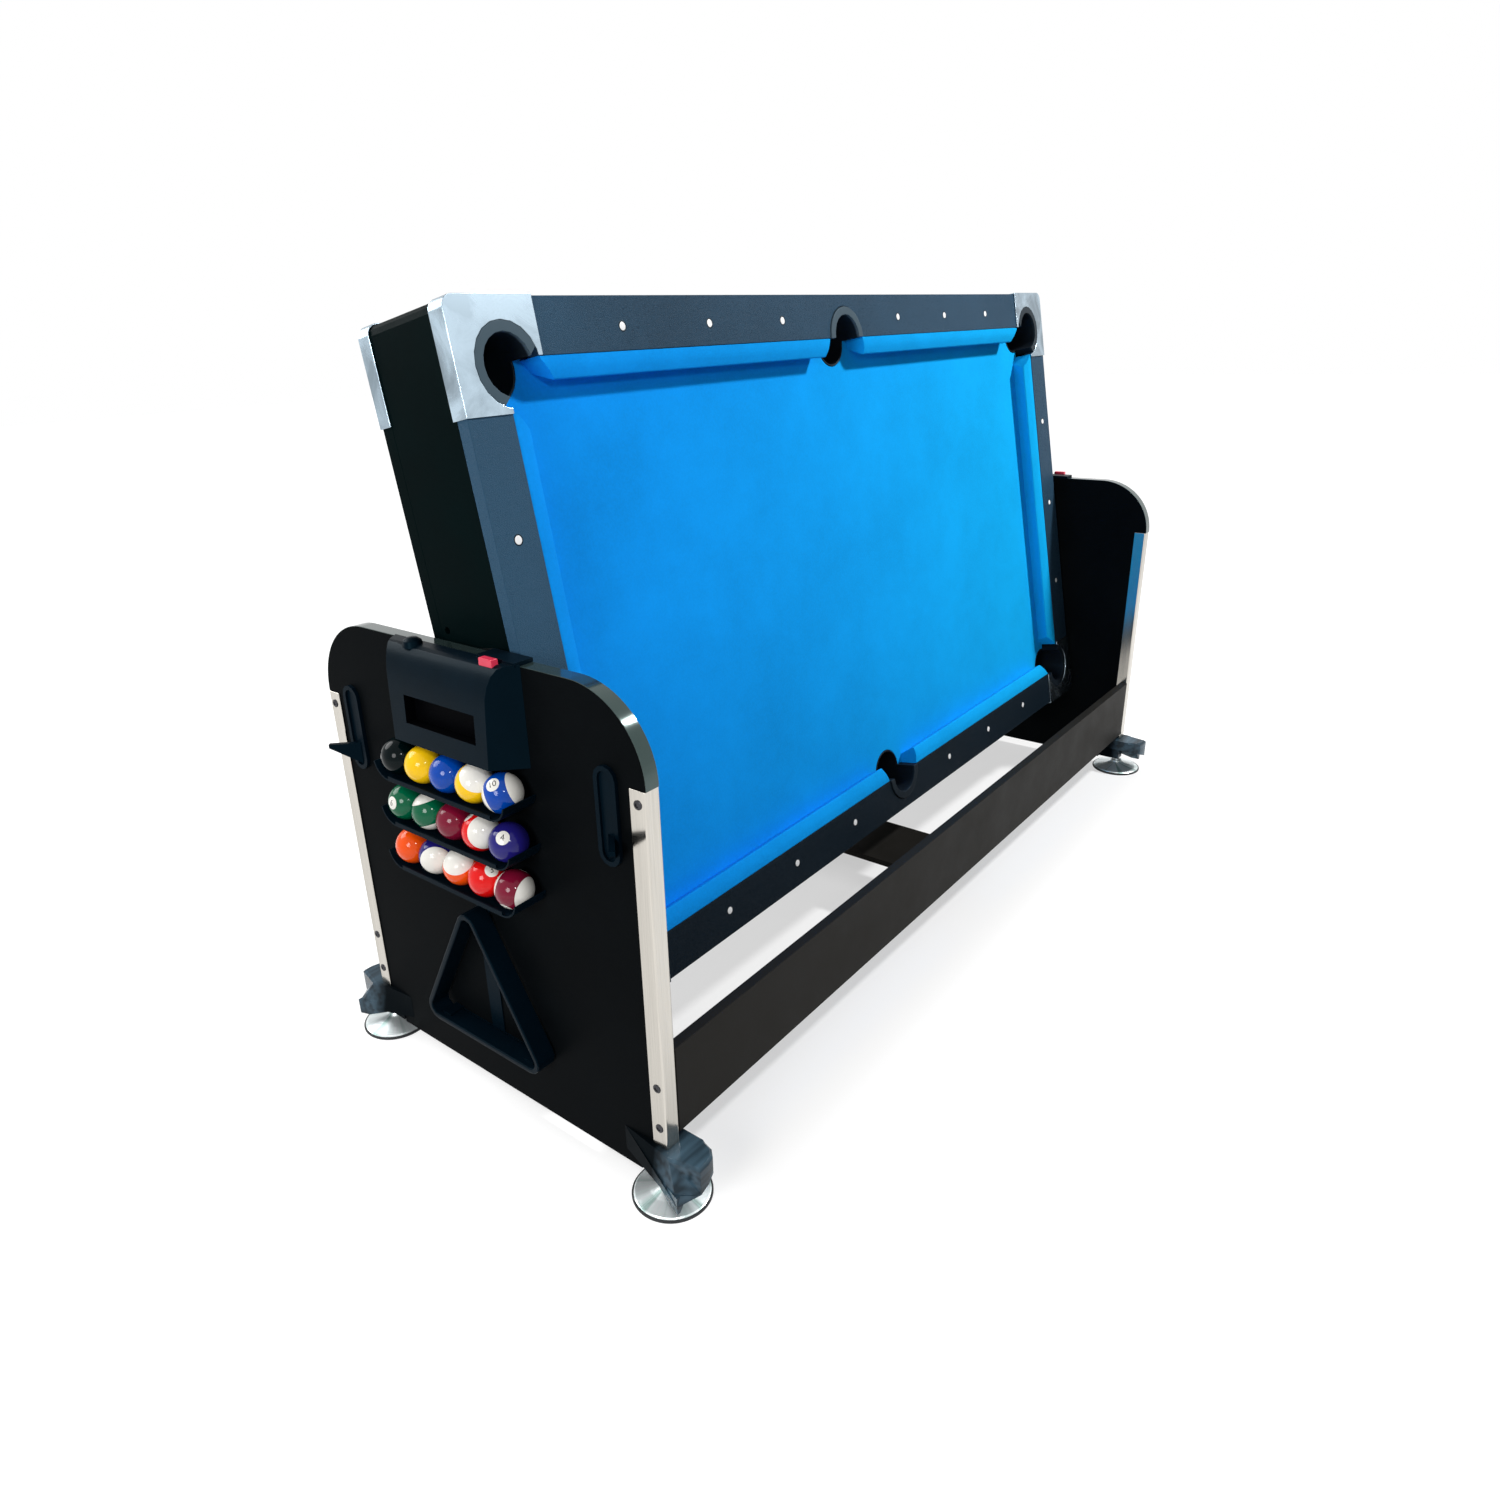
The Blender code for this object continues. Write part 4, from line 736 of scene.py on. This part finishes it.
class GAMETABLE_OT_finishes(bpy.types.Operator):
    """Make the shared node groups and every finish of the table"""
    bl_idname = "gametable.finishes"
    bl_label = "Finishes"

    def execute(self, context):
        chosen = colours()
        make_grain_group()
        make_vinyl_group()
        make_cloth_group()
        make_brushed_group()
        make_ball_group()
        plain, cool, teal = (1.0, 1.0, 1.0), (0.34, 0.78, 1.0), (0.35, 0.95, 1.0)
        # Finish and material, then colour, roughness, grain, grain scale, specular level and its tint
        for key, name, *values in (
                ("laminate", "black_laminate", chosen.laminate, 0.44, 0.4, 700.0, 0.008, plain),
                ("board", "board_laminate", chosen.board, 0.55, 0.5, 500.0, 0.06, plain),
                ("case", "case_laminate", chosen.case, 0.48, 0.4, 700.0, 0.014, teal),
                ("painted_steel", "plate_black", chosen.laminate, 0.38, 0.25, 800.0, 0.35, plain),
                ("moulding", "black_moulding", chosen.moulding, 0.36, 0.3, 1100.0, 0.038, cool),
                ("fitting", "fitting_black", chosen.moulding, 0.40, 0.3, 1100.0, 0.03, cool),
                ("hollow", "housing_hollow", chosen.hollow, 0.55, 0.3, 1100.0, 0.01, plain),
                ("ring", "sight_ring", chosen.pocket, 0.42, 0.35, 900.0, 0.12, cool),
                ("tab", "lock_tab_red", chosen.tab, 0.32, 0.2, 900.0, 0.5, plain),
                ("rubber", "foot_rubber", chosen.rubber, 0.62, 0.5, 900.0, 0.3, plain),
                ("sight", "sight_white", chosen.sight, 0.25, 0.1, 900.0, 0.5, plain),
                ("ink", "ball_ink", chosen.ink, 0.12, 0.05, 900.0, 0.5, plain)):
            finishes[key] = plastic_material(name, *values)
        # Finish and material, then colour, roughness, depth of the streaks and their scale
        for key, name, *values in (("aluminium", "satin_aluminium", chosen.aluminium, 0.17, 0.35, 900.0),
                                   ("chrome", "foot_chrome", chosen.chrome, 0.20, 0.20, 500.0),
                                   ("screw", "screw_black", chosen.steel, 0.32, 0.2, 1200.0)):
            finishes[key] = metal_material(name, *values)
        finishes["trim"] = plastic_material("edge_trim_gloss", chosen.trim, 0.09, 0.05, 900.0, 0.5,
                                            (0.62, 1.0, 0.92), 0.3)
        finishes["cloth"] = cloth_material("napped_blue_cloth", chosen.cloth)
        finishes["vinyl"] = vinyl_material("rail_vinyl", chosen.rail)
        finishes["silver"] = cap_material("cap_silver", chosen.silver, 0.24)
        finishes["pocket"] = pocket_material("pocket_moulding", chosen.pocket, chosen.collar)
        finishes["shoe"] = shoe_material("shoe_moulding", chosen.shoe)
        finishes["plate"] = turned_plate_material("foot_turned_plate", chosen.chrome)
        finishes["puck_field"] = puck_field_material("puck_field_sheet")
        return {"FINISHED"}


class GAMETABLE_OT_stand(bpy.types.Operator):
    """Dress the end panels, boards and uprights, with the panels' edge trim"""
    bl_idname = "gametable.stand"
    bl_label = "Stand"

    def execute(self, context):
        for side in sides:
            repaint("end_panel_" + side, finishes["laminate"])
            for face in faces:
                label = "%s_%s" % (face, side)
                softened("edge_extrusion_" + label, "stand", finishes["aluminium"], 0.0008)
                softened("corner_shoe_" + label, "stand", finishes["shoe"], 0.0055, 5, 20)
            self.trim(side)
        softened("front_board", "stand", finishes["board"], 0.0009)
        softened("rear_board", "stand", finishes["board"], 0.0009)
        repaint("cross_rail", finishes["board"])
        return {"FINISHED"}

    def trim(self, side):
        """Edge trim round the upper corners and along the top, with a gap for the housing's saddle."""
        saddle_front, saddle_rear = -0.1335, -0.0535
        gap, straight, overlap, corner_steps = 0.0003, 0.002, 0.0004, 24
        low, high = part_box("end_panel_" + side)
        thick = sizes().trim_thickness
        radius = sizes().trim_corner
        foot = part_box("edge_extrusion_front_" + side)[1].z + gap
        for face, sign, end in (("front", -1, saddle_front), ("rear", 1, saddle_rear)):
            edge = sign * (high.y - low.y) / 2
            centre = (edge - sign * radius, high.z - radius)
            path = [(edge, foot + straight)]
            for step in range(corner_steps + 1):
                turn = math.pi / 2 * step / corner_steps
                path.append((centre[0] + sign * radius * math.cos(turn), centre[1] + radius * math.sin(turn)))
            path = [(edge, foot)] + [point for point in path if point[1] > foot] + [(end, high.z)]
            outer = [self.proud(path, index, thick) for index in range(len(path))]
            points = [(low.x - overlap, y, z) for y, z in outer + path[::-1]]
            strip = outline_piece("edge_trim_%s_%s" % (face, side), points,
                                  (high.x - low.x + 2 * overlap, 0, 0))
            rounded(strip, thick * 0.45, 2, 60)
            dressed(smooth(strip), "stand", finishes["trim"])

    def proud(self, path, index, thick):
        """A path point moved outwards, away from the panel's middle."""
        panel_middle = Vector((0, 0.45))
        ahead = Vector(path[min(index + 1, len(path) - 1)])
        back = Vector(path[max(index - 1, 0)])
        along = (ahead - back).normalized()
        out = Vector((along.y, -along.x))
        if out.dot(Vector(path[index]) - panel_middle) < 0:
            out = -out
        return tuple(Vector(path[index]) + out * thick)


class GAMETABLE_OT_screws(bpy.types.Operator):
    """Model one screw head and set three on the outer leg of each upright"""
    bl_idname = "gametable.screws"
    bl_label = "Upright screws"

    def execute(self, context):
        heights = (0.124, 0.194, 0.630)
        radius, inset = sizes().screw_radius, sizes().screw_inset
        profile = [(0, 0.0006), (radius * 0.45, 0.0006), (radius * 0.5, 0.0018), (radius * 0.75, 0.0017),
                   (radius * 0.95, 0.0010), (radius, 0.0), (0, 0.0)]
        model = smooth(spun_piece("upright_screw", profile, 24), 30)
        for side, sign in zip(sides, (-1, 1)):
            turn = Matrix.Rotation(sign * math.pi / 2, 4, "Y")
            for face in faces:
                node = "edge_extrusion_%s_%s" % (face, side)
                low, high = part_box(node)
                outer = low.x if side == "left" else high.x
                row = low.y + inset if face == "front" else high.y - inset
                heads = [settle(twin(model, "upright_screw_%d" % index),
                                Matrix.Translation((outer, row, height)) @ turn)
                         for index, height in enumerate(heights)]
                dressed(merged(heads, "upright_screws_%s_%s" % (face, side)), "stand", finishes["screw"])
        bpy.data.objects.remove(model)
        return {"FINISHED"}


class GAMETABLE_OT_feet(bpy.types.Operator):
    """Model one chromed levelling foot with its rubber rim, and set four"""
    bl_idname = "gametable.feet"
    bl_label = "Levelling feet"

    def execute(self, context):
        radius = sizes().foot_radius
        rim_in = radius - 0.004
        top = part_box("levelling_foot_front_left")[1].z
        cone_top, thread_foot, thread = 0.0245, 0.0250, 0.0015
        cone = [(0.0, cone_top), (0.0105, cone_top), (0.0130, 0.0232), (0.0150, 0.0200), (0.0185, 0.0172),
                (0.0300, 0.0132), (0.0320, 0.0130), (0.0335, 0.0120), (0.0480, 0.0086), (0.0550, 0.0068),
                (rim_in, 0.0058), (rim_in + 0.0012, 0.0050), (rim_in + 0.0008, 0.0042), (0.0, 0.0042)]
        rim = [(0.0, 0.0040), (rim_in + 0.0010, 0.0040), (rim_in + 0.0016, 0.0052), (radius - 0.0012, 0.0050),
               (radius, 0.0036), (radius, 0.0012), (radius - 0.0010, 0.0), (0.0, 0.0)]
        stem = [(0.0, cone_top), (0.0056, cone_top)]
        for index in range(int((top - thread_foot) / thread)):
            height = thread_foot + index * thread
            stem += [(0.0049, height), (0.0060, height + thread / 2)]
        stem += [(0.0045, top), (0.0, top)]
        models = [(name, smooth(spun_piece(name, profile, steps), 30), finishes[finish])
                  for name, profile, steps, finish in (("foot_plate", cone, 64, "plate"),
                                                       ("foot_pad", rim, 64, "rubber"),
                                                       ("foot_stem", stem, 24, "chrome"))]
        for side in sides:
            for face in faces:
                label = "%s_%s" % (face, side)
                node = "levelling_foot_" + label
                centre = middle_of(node)
                place = Matrix.Translation((centre.x, centre.y, 0))
                for name, model, finish in models:
                    piece = settle(twin(model, "%s_%s" % (name, label)), place)
                    dressed(piece, "foot_" + label, finish, (node,))
        for name, model, finish in models:
            bpy.data.objects.remove(model)
        return {"FINISHED"}


class GAMETABLE_OT_hubs(bpy.types.Operator):
    """Round the hub housings and lock latches"""
    bl_idname = "gametable.hubs"
    bl_label = "Hubs and locks"

    def execute(self, context):
        for side in sides:
            housing = softened("hub_housing_" + side, "stand", finishes["moulding"], 0.0022, 3, 32)
            self.darken_mouth(housing, side)
            softened("lock_latch_" + side, "latch_" + side, finishes["tab"], 0.0006)
        return {"FINISHED"}

    def darken_mouth(self, housing, side):
        """The walls and back of the finger hole get the unlit black of its inside."""
        low, high = self.mouth_box(side)
        housing.data.materials.append(finishes["hollow"])
        for polygon in housing.data.polygons:
            if inside(polygon.center, low, high):
                polygon.material_index = 1

    def mouth_box(self, side):
        """The finger hole's box, grown by enough to take in its walls."""
        lip, depth = 0.003, 0.024
        front, rear, foot, top = -0.084, 0.074, 0.663, 0.711
        low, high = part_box("hub_housing_" + side)
        first, last = (low.x + lip, low.x + depth) if side == "left" else (high.x - depth, high.x - lip)
        return (first, front, foot), (last, rear, top)


class GAMETABLE_OT_end_fittings(bpy.types.Operator):
    """Round the ball trays, the ball rack and the cue hooks"""
    bl_idname = "gametable.end_fittings"
    bl_label = "Trays, rack and hooks"

    def execute(self, context):
        softened("ball_holder", "stand", finishes["fitting"], 0.0007)
        softened("ball_rack", "rack", finishes["moulding"], 0.0022, 3, 25)
        for face in faces:
            softened("cue_hook_" + face, "stand", finishes["fitting"], 0.0010)
        return {"FINISHED"}


# The colours of balls 1 to 8, which 9 to 15 wear as a stripe
ball_colours = ((1.0, 0.60, 0.005), (0.0, 0.060, 0.41), (0.80, 0.006, 0.006), (0.016, 0.012, 0.18),
                (0.94, 0.090, 0.004), (0.0, 0.12, 0.050), (0.20, 0.005, 0.028), (0.0, 0.004, 0.005))
# Where each ball's number faces: azimuth from -X towards -Y, height and roll, in degrees
ball_turns = ((128, -11, 0), (135, 8, 0), (73, 46, 0), (31, 39, 0), (134, 2, 0),
              (-1, 14, 0), (120, -4, 0), (134, -1, 0), (126, -24, 125), (11, 47, 33),
              (-55, 56, 34), (127, 69, -174), (109, -5, 125), (142, 13, 75), (-174, 43, -170))


class GAMETABLE_OT_balls(bpy.types.Operator):
    """Model the fifteen balls in their trays, each with its number on two sides"""
    bl_idname = "gametable.balls"
    bl_label = "Pool balls"

    def execute(self, context):
        solid_count = len(ball_colours)
        for number, degrees in enumerate(ball_turns, 1):
            node = "ball_%02d" % number
            body = "ball_%d" % number
            centre = middle_of(node)
            radius = node_size(node).z / 2
            own = Matrix.Translation(centre) @ self.turn(*[math.radians(part) for part in degrees]).to_4x4()
            start()
            bpy.ops.mesh.primitive_uv_sphere_add(segments=80, ring_count=44, radius=radius, location=centre)
            ball = named("pool_ball_%02d" % number)
            bpy.ops.object.transform_apply(location=True, rotation=True, scale=True)
            smooth(ball, 60)
            # The black ball mirrors less of the white room than the coloured ones
            gloss = 0.10 if number == solid_count else 0.22
            finish = ball_material("resin_ball_%02d" % number, ball_colours[(number - 1) % solid_count],
                                   number > solid_count, own, gloss)
            dressed(ball, body, finish, (node,))
            for label, flip in (("a", 0.0), ("b", math.pi)):
                digits = self.digits(number, radius, label)
                settle(digits, own @ Matrix.Rotation(flip, 4, "X"))
                dressed(digits, body, finishes["ink"])
        return {"FINISHED"}

    def turn(self, azimuth, height, roll):
        """The ball's own frame: Z out through the number, X to the band's poles."""
        out = Vector((-math.cos(azimuth) * math.cos(height), -math.sin(azimuth) * math.cos(height),
                      math.sin(height)))
        right = Vector((0, 0, 1)).cross(out).normalized()
        upright = Matrix((right, out.cross(right), out)).transposed()
        return upright @ Matrix.Rotation(roll, 3, "Z")

    def digits(self, number, radius, label):
        """A printed numeral, bent onto the ball round its own Z axis."""
        ink_lift = 0.00008
        start()
        bpy.ops.object.text_add()
        text = bpy.context.object
        text.data.body = str(number)
        text.data.align_x = "CENTER"
        text.data.align_y = "CENTER"
        text.data.size = sizes().number_size
        text.data.resolution_u = 3
        bpy.ops.object.convert(target="MESH")
        piece = named("ball_number_%02d_%s" % (number, label))
        edit(piece)
        bpy.ops.mesh.quads_convert_to_tris()
        bpy.ops.mesh.subdivide(number_cuts=2)
        leave()
        for vertex in piece.data.vertices:
            vertex.co.z = math.sqrt((radius + ink_lift) ** 2 - vertex.co.x ** 2 - vertex.co.y ** 2)
        return piece


class GAMETABLE_OT_pool_bed(bpy.types.Operator):
    """Model the cloth-covered bed and its six cushions"""
    bl_idname = "gametable.pool_bed"
    bl_label = "Pool bed and cushions"

    def execute(self, context):
        size = sizes()
        overlap, drill_depth = 0.004, 0.05
        half_u, half_v = size.field_half_length + overlap, size.field_half_width + overlap
        level = size.bed_level
        points = [(u * half_u, v * half_v, level) for u, v in ((1, 1), (-1, 1), (-1, -1), (1, -1))]
        bed = outline_piece("bed_cloth", points, (0, 0, -size.bed_thickness))
        for u, v in self.pockets():
            start()
            bpy.ops.mesh.primitive_cylinder_add(vertices=40, radius=size.cup_radius, depth=drill_depth,
                                                location=(u, v, level))
            cutter = named("pocket_cutter")
            apply(bed, "BOOLEAN", operation="DIFFERENCE", solver="EXACT", object=cutter)
            bpy.data.objects.remove(cutter)
        rounded(bed, 0.0012, 2, 60)
        self.cover(bed, top_frame)
        self.cushions()
        return {"FINISHED"}

    def pockets(self):
        """Where the pockets' axes cross the bed: four at the corners and two at the middle."""
        size = sizes()
        corners = [(u * size.pocket_reach_u, v * size.pocket_reach_v) for u in (-1, 1) for v in (-1, 1)]
        return corners + [(0, -size.side_pocket_reach), (0, size.side_pocket_reach)]

    def cover(self, piece, matrix):
        """Set a piece in the top and cover it with the cloth, in place of the bed's solid."""
        settle(piece, matrix)
        dressed(smooth(piece), "top", finishes["cloth"], ("pool_bed",))

    def cushions(self):
        """Four long cushions from one model, and one at each end."""
        size = sizes()
        corner_mitre, side_mitre = 42, 20
        corner_reach, side_reach = [math.sqrt(size.pocket_bite ** 2 - (size.field_half_width - reach) ** 2)
                                    for reach in (size.pocket_reach_v, size.side_pocket_reach)]
        long_end = size.pocket_reach_u - corner_reach
        short_end = size.pocket_reach_v - corner_reach
        model = self.cushion("cushion_long", side_reach, long_end, side_mitre, corner_mitre)
        for u, side in zip((-1, 1), sides):
            for v, row in zip((-1, 1), rows):
                self.cover(twin(model, "cushion_%s_%s" % (row, side)), top_frame @ Matrix.Diagonal((u, v, 1, 1)))
        bpy.data.objects.remove(model)
        shift = Matrix.Translation((0, size.field_half_length - size.field_half_width, 0))
        for turn, side in zip((1, -1), sides):
            piece = self.cushion("cushion_end_" + side, -short_end, short_end, corner_mitre, corner_mitre)
            self.cover(piece, top_frame @ Matrix.Rotation(turn * math.pi / 2, 4, "Z") @ shift)

    def cushion(self, name, low, high, low_mitre, high_mitre):
        """A cushion on the far long rail, with a rounded nose, its ends cut back towards the field."""
        size = sizes()
        nose = size.bed_level + size.nose_height
        reach, radius, rail = size.cushion_width, size.nose_radius, size.rail_level
        foot = size.bed_level - 0.001
        # Distance from the rail and height: the foot, the nose's arc, and the slope up to the rail's face
        section = [(0.0, foot), (reach - 0.014, foot), (reach - 0.0125, foot + 0.004)]
        for step in range(7):
            turn = math.radians(-25 + 95 * step / 6)
            section.append((reach - radius + radius * math.cos(turn), nose - radius + radius * math.sin(turn)))
        section += [(reach * 0.62, rail - 0.0032), (reach * 0.36, rail - 0.0016), (0.0018, rail - 0.0008),
                    (0.0, rail - 0.0018)]
        points = [(low, size.field_half_width - depth, level) for depth, level in section]
        piece = outline_piece(name, points, (high - low, 0, 0))
        for place, degrees, outward in ((low, low_mitre, -1), (high, high_mitre, 1)):
            turn = math.radians(degrees)
            edit(piece)
            bpy.ops.mesh.bisect(plane_co=(place, size.field_half_width, 0),
                                plane_no=(outward * math.cos(turn), -math.sin(turn), 0),
                                use_fill=True, clear_outer=True)
            leave()
        return rounded(piece, 0.0012, 2, 50)


class GAMETABLE_OT_rails(bpy.types.Operator):
    """Round the pool rails and set their eighteen sights"""
    bl_idname = "gametable.rails"
    bl_label = "Rails and sights"

    def execute(self, context):
        softened("pool_rails", "top", finishes["vinyl"], 0.0018, 3, 35, self.striker_holes())
        size = sizes()
        model = self.sight(size.sight_radius, size.sight_ring)
        long_v = size.rail_half_width - size.long_sight_inset
        end_u = node_size("pool_rails").x / 2 - size.short_sight_inset
        places = [(count * size.long_sight_pitch, side * long_v) for count in (-3, -2, -1, 1, 2, 3)
                  for side in (-1, 1)]
        places += [(side * end_u, count * size.end_sight_pitch) for count in (-1, 0, 1) for side in (-1, 1)]
        copies = [settle(twin(model, "sight_copy"), top_frame @ Matrix.Translation((u, v, size.rail_level)))
                  for u, v in places]
        bpy.data.objects.remove(model)
        dressed(merged(copies, "rail_sights"), "top", None)
        return {"FINISHED"}

    def sight(self, inner, outer):
        """A sight let into the rail: a white dot in a dark ring."""
        profile = [(0, 0.0004), (inner * 0.5, 0.00036), (inner * 0.97, 0.00016), (inner, 0.00006),
                   (inner * 1.05, 0.00012), (outer * 0.97, 0.00012), (outer, 0.0), (0, 0.0)]
        model = spun_piece("sight", profile, 28)
        model.data.materials.append(finishes["ring"])
        model.data.materials.append(finishes["sight"])
        for polygon in model.data.polygons:
            middle = polygon.center
            white = middle.z > 0 and math.hypot(middle.x, middle.y) < inner
            polygon.material_index = 1 if white else 0
        return smooth(model, 30)

    def striker_holes(self):
        """Boxes round the two holes that the lock bolts slide into, which keep their edges."""
        room, half_depth = 0.014, 0.007
        low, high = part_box("pool_rails")
        bolt = middle_of("lock_latch_left")
        return [((end - room, bolt.y - room, bolt.z - room), (end + room, bolt.y + room, bolt.z + room))
                for end in (low.x + half_depth, high.x - half_depth)]


class GAMETABLE_OT_pockets(bpy.types.Operator):
    """Round the pockets and the corner caps"""
    bl_idname = "gametable.pockets"
    bl_label = "Pockets and caps"

    def execute(self, context):
        for row in rows:
            for place in ("left", "middle", "right"):
                softened("pocket_%s_%s" % (row, place), "top", finishes["pocket"], 0.0012, 2, 40)
            for side in sides:
                softened("corner_caps_%s_%s" % (row, side), "top", finishes["silver"], 0.0008, 2, 35)
        return {"FINISHED"}


class GAMETABLE_OT_case(bpy.types.Operator):
    """Dress the case, the pivot plates and the air hockey side"""
    bl_idname = "gametable.case"
    bl_label = "Case and hockey side"

    def execute(self, context):
        repaint("table_case", finishes["case"])
        for side in sides:
            repaint("pivot_plate_" + side, finishes["painted_steel"])
        repaint("hockey_bed", finishes["puck_field"])
        for place in rows + sides:
            softened("hockey_rail_" + place, "top", finishes["case"], 0.0010, 2, 40)
        return {"FINISHED"}


# Each lamp of the studio: its place, what it looks at and its diameter
lamps = (("key", (1.92, -1.92, 3.18), (0.0, 0.0, 0.7), 0.35),
         ("fill", (-3.6, -0.6, 1.6), (-0.98, -0.1, 0.45), 1.2),
         ("back", (-1.7, 2.5, 2.4), (-0.9, 0.0, 0.7), 2.0),
         ("glint", (-2.06, -1.96, 1.89), (-0.98, -0.1, 0.45), 0.30))


class GAMETABLE_OT_stage(bpy.types.Operator):
    """Set the floor, the soft lights, the world and the camera"""
    bl_idname = "gametable.stage"
    bl_label = "Studio"

    def execute(self, context):
        studio = context.scene.game_table_studio
        self.floor(studio)
        self.world(studio)
        for name, place, target, size in lamps:
            self.light(name, place, target, size, getattr(studio, name + "_power"))
        self.camera(studio)
        context.scene.view_settings.view_transform = "Standard"
        return {"FINISHED"}

    def floor(self, studio):
        """A wide pale floor that glows for the camera and for mirrors, less round the table as a painted soft
        shadow, and throws no light of its own.
        """
        side = 40.0
        start()
        bpy.ops.mesh.primitive_plane_add(size=side, location=(0, 0, 0))
        floor = named("studio_floor")
        material, tree, shader = new_material("pale_floor", 0.6, specular=0.1)
        shader.inputs["Base Color"].default_value = full(studio.floor)
        shader.inputs["Emission Color"].default_value = (1.0, 1.0, 1.0, 1.0)
        # Painted shadow: the glow grows from its level at the footprint to full white.
        glow = remap(tree, self.reach(tree), 0.0, studio.glow_end, studio.near_glow, studio.far_glow, "SMOOTHSTEP")
        seen = self.seen(tree, "Camera", "Glossy")
        wire(tree, shader, {"Emission Strength": maths(tree, "MULTIPLY", seen, glow)})
        floor.data.materials.append(material)

    def reach(self, tree):
        """How far a point of the floor is from the boards' footprint, less a piece at its left end: the reach of
        the painted shadow.
        """
        left_out = 0.12
        low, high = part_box("front_board")[0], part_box("rear_board")[1]
        parts = coordinates(tree)
        gaps = []
        for axis, first, last in (("X", low.x + left_out, high.x), ("Y", low.y, high.y)):
            middle, half = (first + last) / 2, (last - first) / 2
            off = maths(tree, "ABSOLUTE", maths(tree, "SUBTRACT", parts[axis], middle))
            gaps.append(maths(tree, "MAXIMUM", maths(tree, "SUBTRACT", off, half), 0.0))
        return radius_of(tree, *gaps)

    def seen(self, tree, *kinds):
        """One for rays of the kinds given, nought for all others."""
        rays = add(tree, "ShaderNodeLightPath").outputs
        mask = 0.0
        for kind in kinds:
            mask = maths(tree, "MAXIMUM", mask, rays["Is %s Ray" % kind])
        return mask

    def world(self, studio):
        """White where it is looked at, dim as a light."""
        world = bpy.data.worlds.new("white_studio")
        world.use_nodes = True
        bpy.context.scene.world = world
        tree = world.node_tree
        tree.nodes.clear()
        seen = self.seen(tree, "Camera", "Transmission", "Glossy")
        background = add(tree, "ShaderNodeBackground", {"Color": (1.0, 1.0, 1.0, 1.0), "Strength":
                                                        remap(tree, seen, 0.0, 1.0, studio.ambient, 1.0)})
        add(tree, "ShaderNodeOutputWorld", {"Surface": background.outputs[0]})

    def light(self, name, place, target, size, power):
        """A round soft lamp."""
        start()
        bpy.ops.object.light_add(type="AREA", location=place)
        light = bpy.context.object
        light.name = "studio_" + name
        light.data.shape = "DISK"
        light.data.size = size
        light.data.energy = power
        light.rotation_euler = (Vector(target) - Vector(place)).to_track_quat("-Z", "Y").to_euler()

    def camera(self, studio):
        """The camera that was fitted to the straight edges of the photo."""
        data = bpy.data.cameras.new("photo_camera")
        camera = bpy.data.objects.new("photo_camera", data)
        bpy.context.scene.collection.objects.link(camera)
        data.lens = studio.lens
        data.sensor_width = 36.0
        data.shift_x = studio.shift_x
        data.shift_y = studio.shift_y
        forward = Vector((math.sin(studio.yaw) * math.cos(studio.pitch),
                          math.cos(studio.yaw) * math.cos(studio.pitch), math.sin(studio.pitch)))
        right = Vector((math.cos(studio.yaw), -math.sin(studio.yaw), 0))
        up = right.cross(forward)
        across = right * math.cos(studio.roll) + up * math.sin(studio.roll)
        above = up * math.cos(studio.roll) - right * math.sin(studio.roll)
        turn = Matrix((across, above, -forward)).transposed()
        camera.matrix_world = Matrix.Translation(studio.place) @ turn.to_4x4()
        bpy.context.scene.camera = camera


operators = (GAMETABLE_OT_finishes, GAMETABLE_OT_stand, GAMETABLE_OT_screws, GAMETABLE_OT_feet,
             GAMETABLE_OT_hubs, GAMETABLE_OT_end_fittings, GAMETABLE_OT_balls, GAMETABLE_OT_pool_bed,
             GAMETABLE_OT_rails, GAMETABLE_OT_pockets, GAMETABLE_OT_case, GAMETABLE_OT_stage)


class GAMETABLE_PT_panel(bpy.types.Panel):
    """Lists the table's operators and settings"""
    bl_idname = "GAMETABLE_PT_panel"
    bl_label = "Game Table"
    bl_space_type = "VIEW_3D"
    bl_region_type = "UI"
    bl_category = "Game Table"

    def draw(self, context):
        for operator in operators:
            self.layout.operator(operator.bl_idname)
        for settings in (context.scene.game_table_sizes, context.scene.game_table_colours,
                         context.scene.game_table_studio):
            column = self.layout.column(align=True)
            for key in settings.__annotations__:
                column.prop(settings, key)


settings_groups = (("game_table_sizes", GameTableSizes), ("game_table_colours", GameTableColours),
                   ("game_table_studio", GameTableStudio))


def register():
    for name, group_class in settings_groups:
        bpy.utils.register_class(group_class)
        setattr(bpy.types.Scene, name, bpy.props.PointerProperty(type=group_class))
    for operator in operators:
        bpy.utils.register_class(operator)
    bpy.utils.register_class(GAMETABLE_PT_panel)


def unregister():
    bpy.utils.unregister_class(GAMETABLE_PT_panel)
    for operator in reversed(operators):
        bpy.utils.unregister_class(operator)
    for name, group_class in reversed(settings_groups):
        delattr(bpy.types.Scene, name)
        bpy.utils.unregister_class(group_class)


def main():
    register()
    bpy.ops.gametable.finishes()
    bpy.ops.gametable.stand()
    bpy.ops.gametable.screws()
    bpy.ops.gametable.feet()
    bpy.ops.gametable.hubs()
    bpy.ops.gametable.end_fittings()
    bpy.ops.gametable.balls()
    bpy.ops.gametable.pool_bed()
    bpy.ops.gametable.rails()
    bpy.ops.gametable.pockets()
    bpy.ops.gametable.case()
    bpy.ops.gametable.stage()


if __name__ == "__main__":
    main()
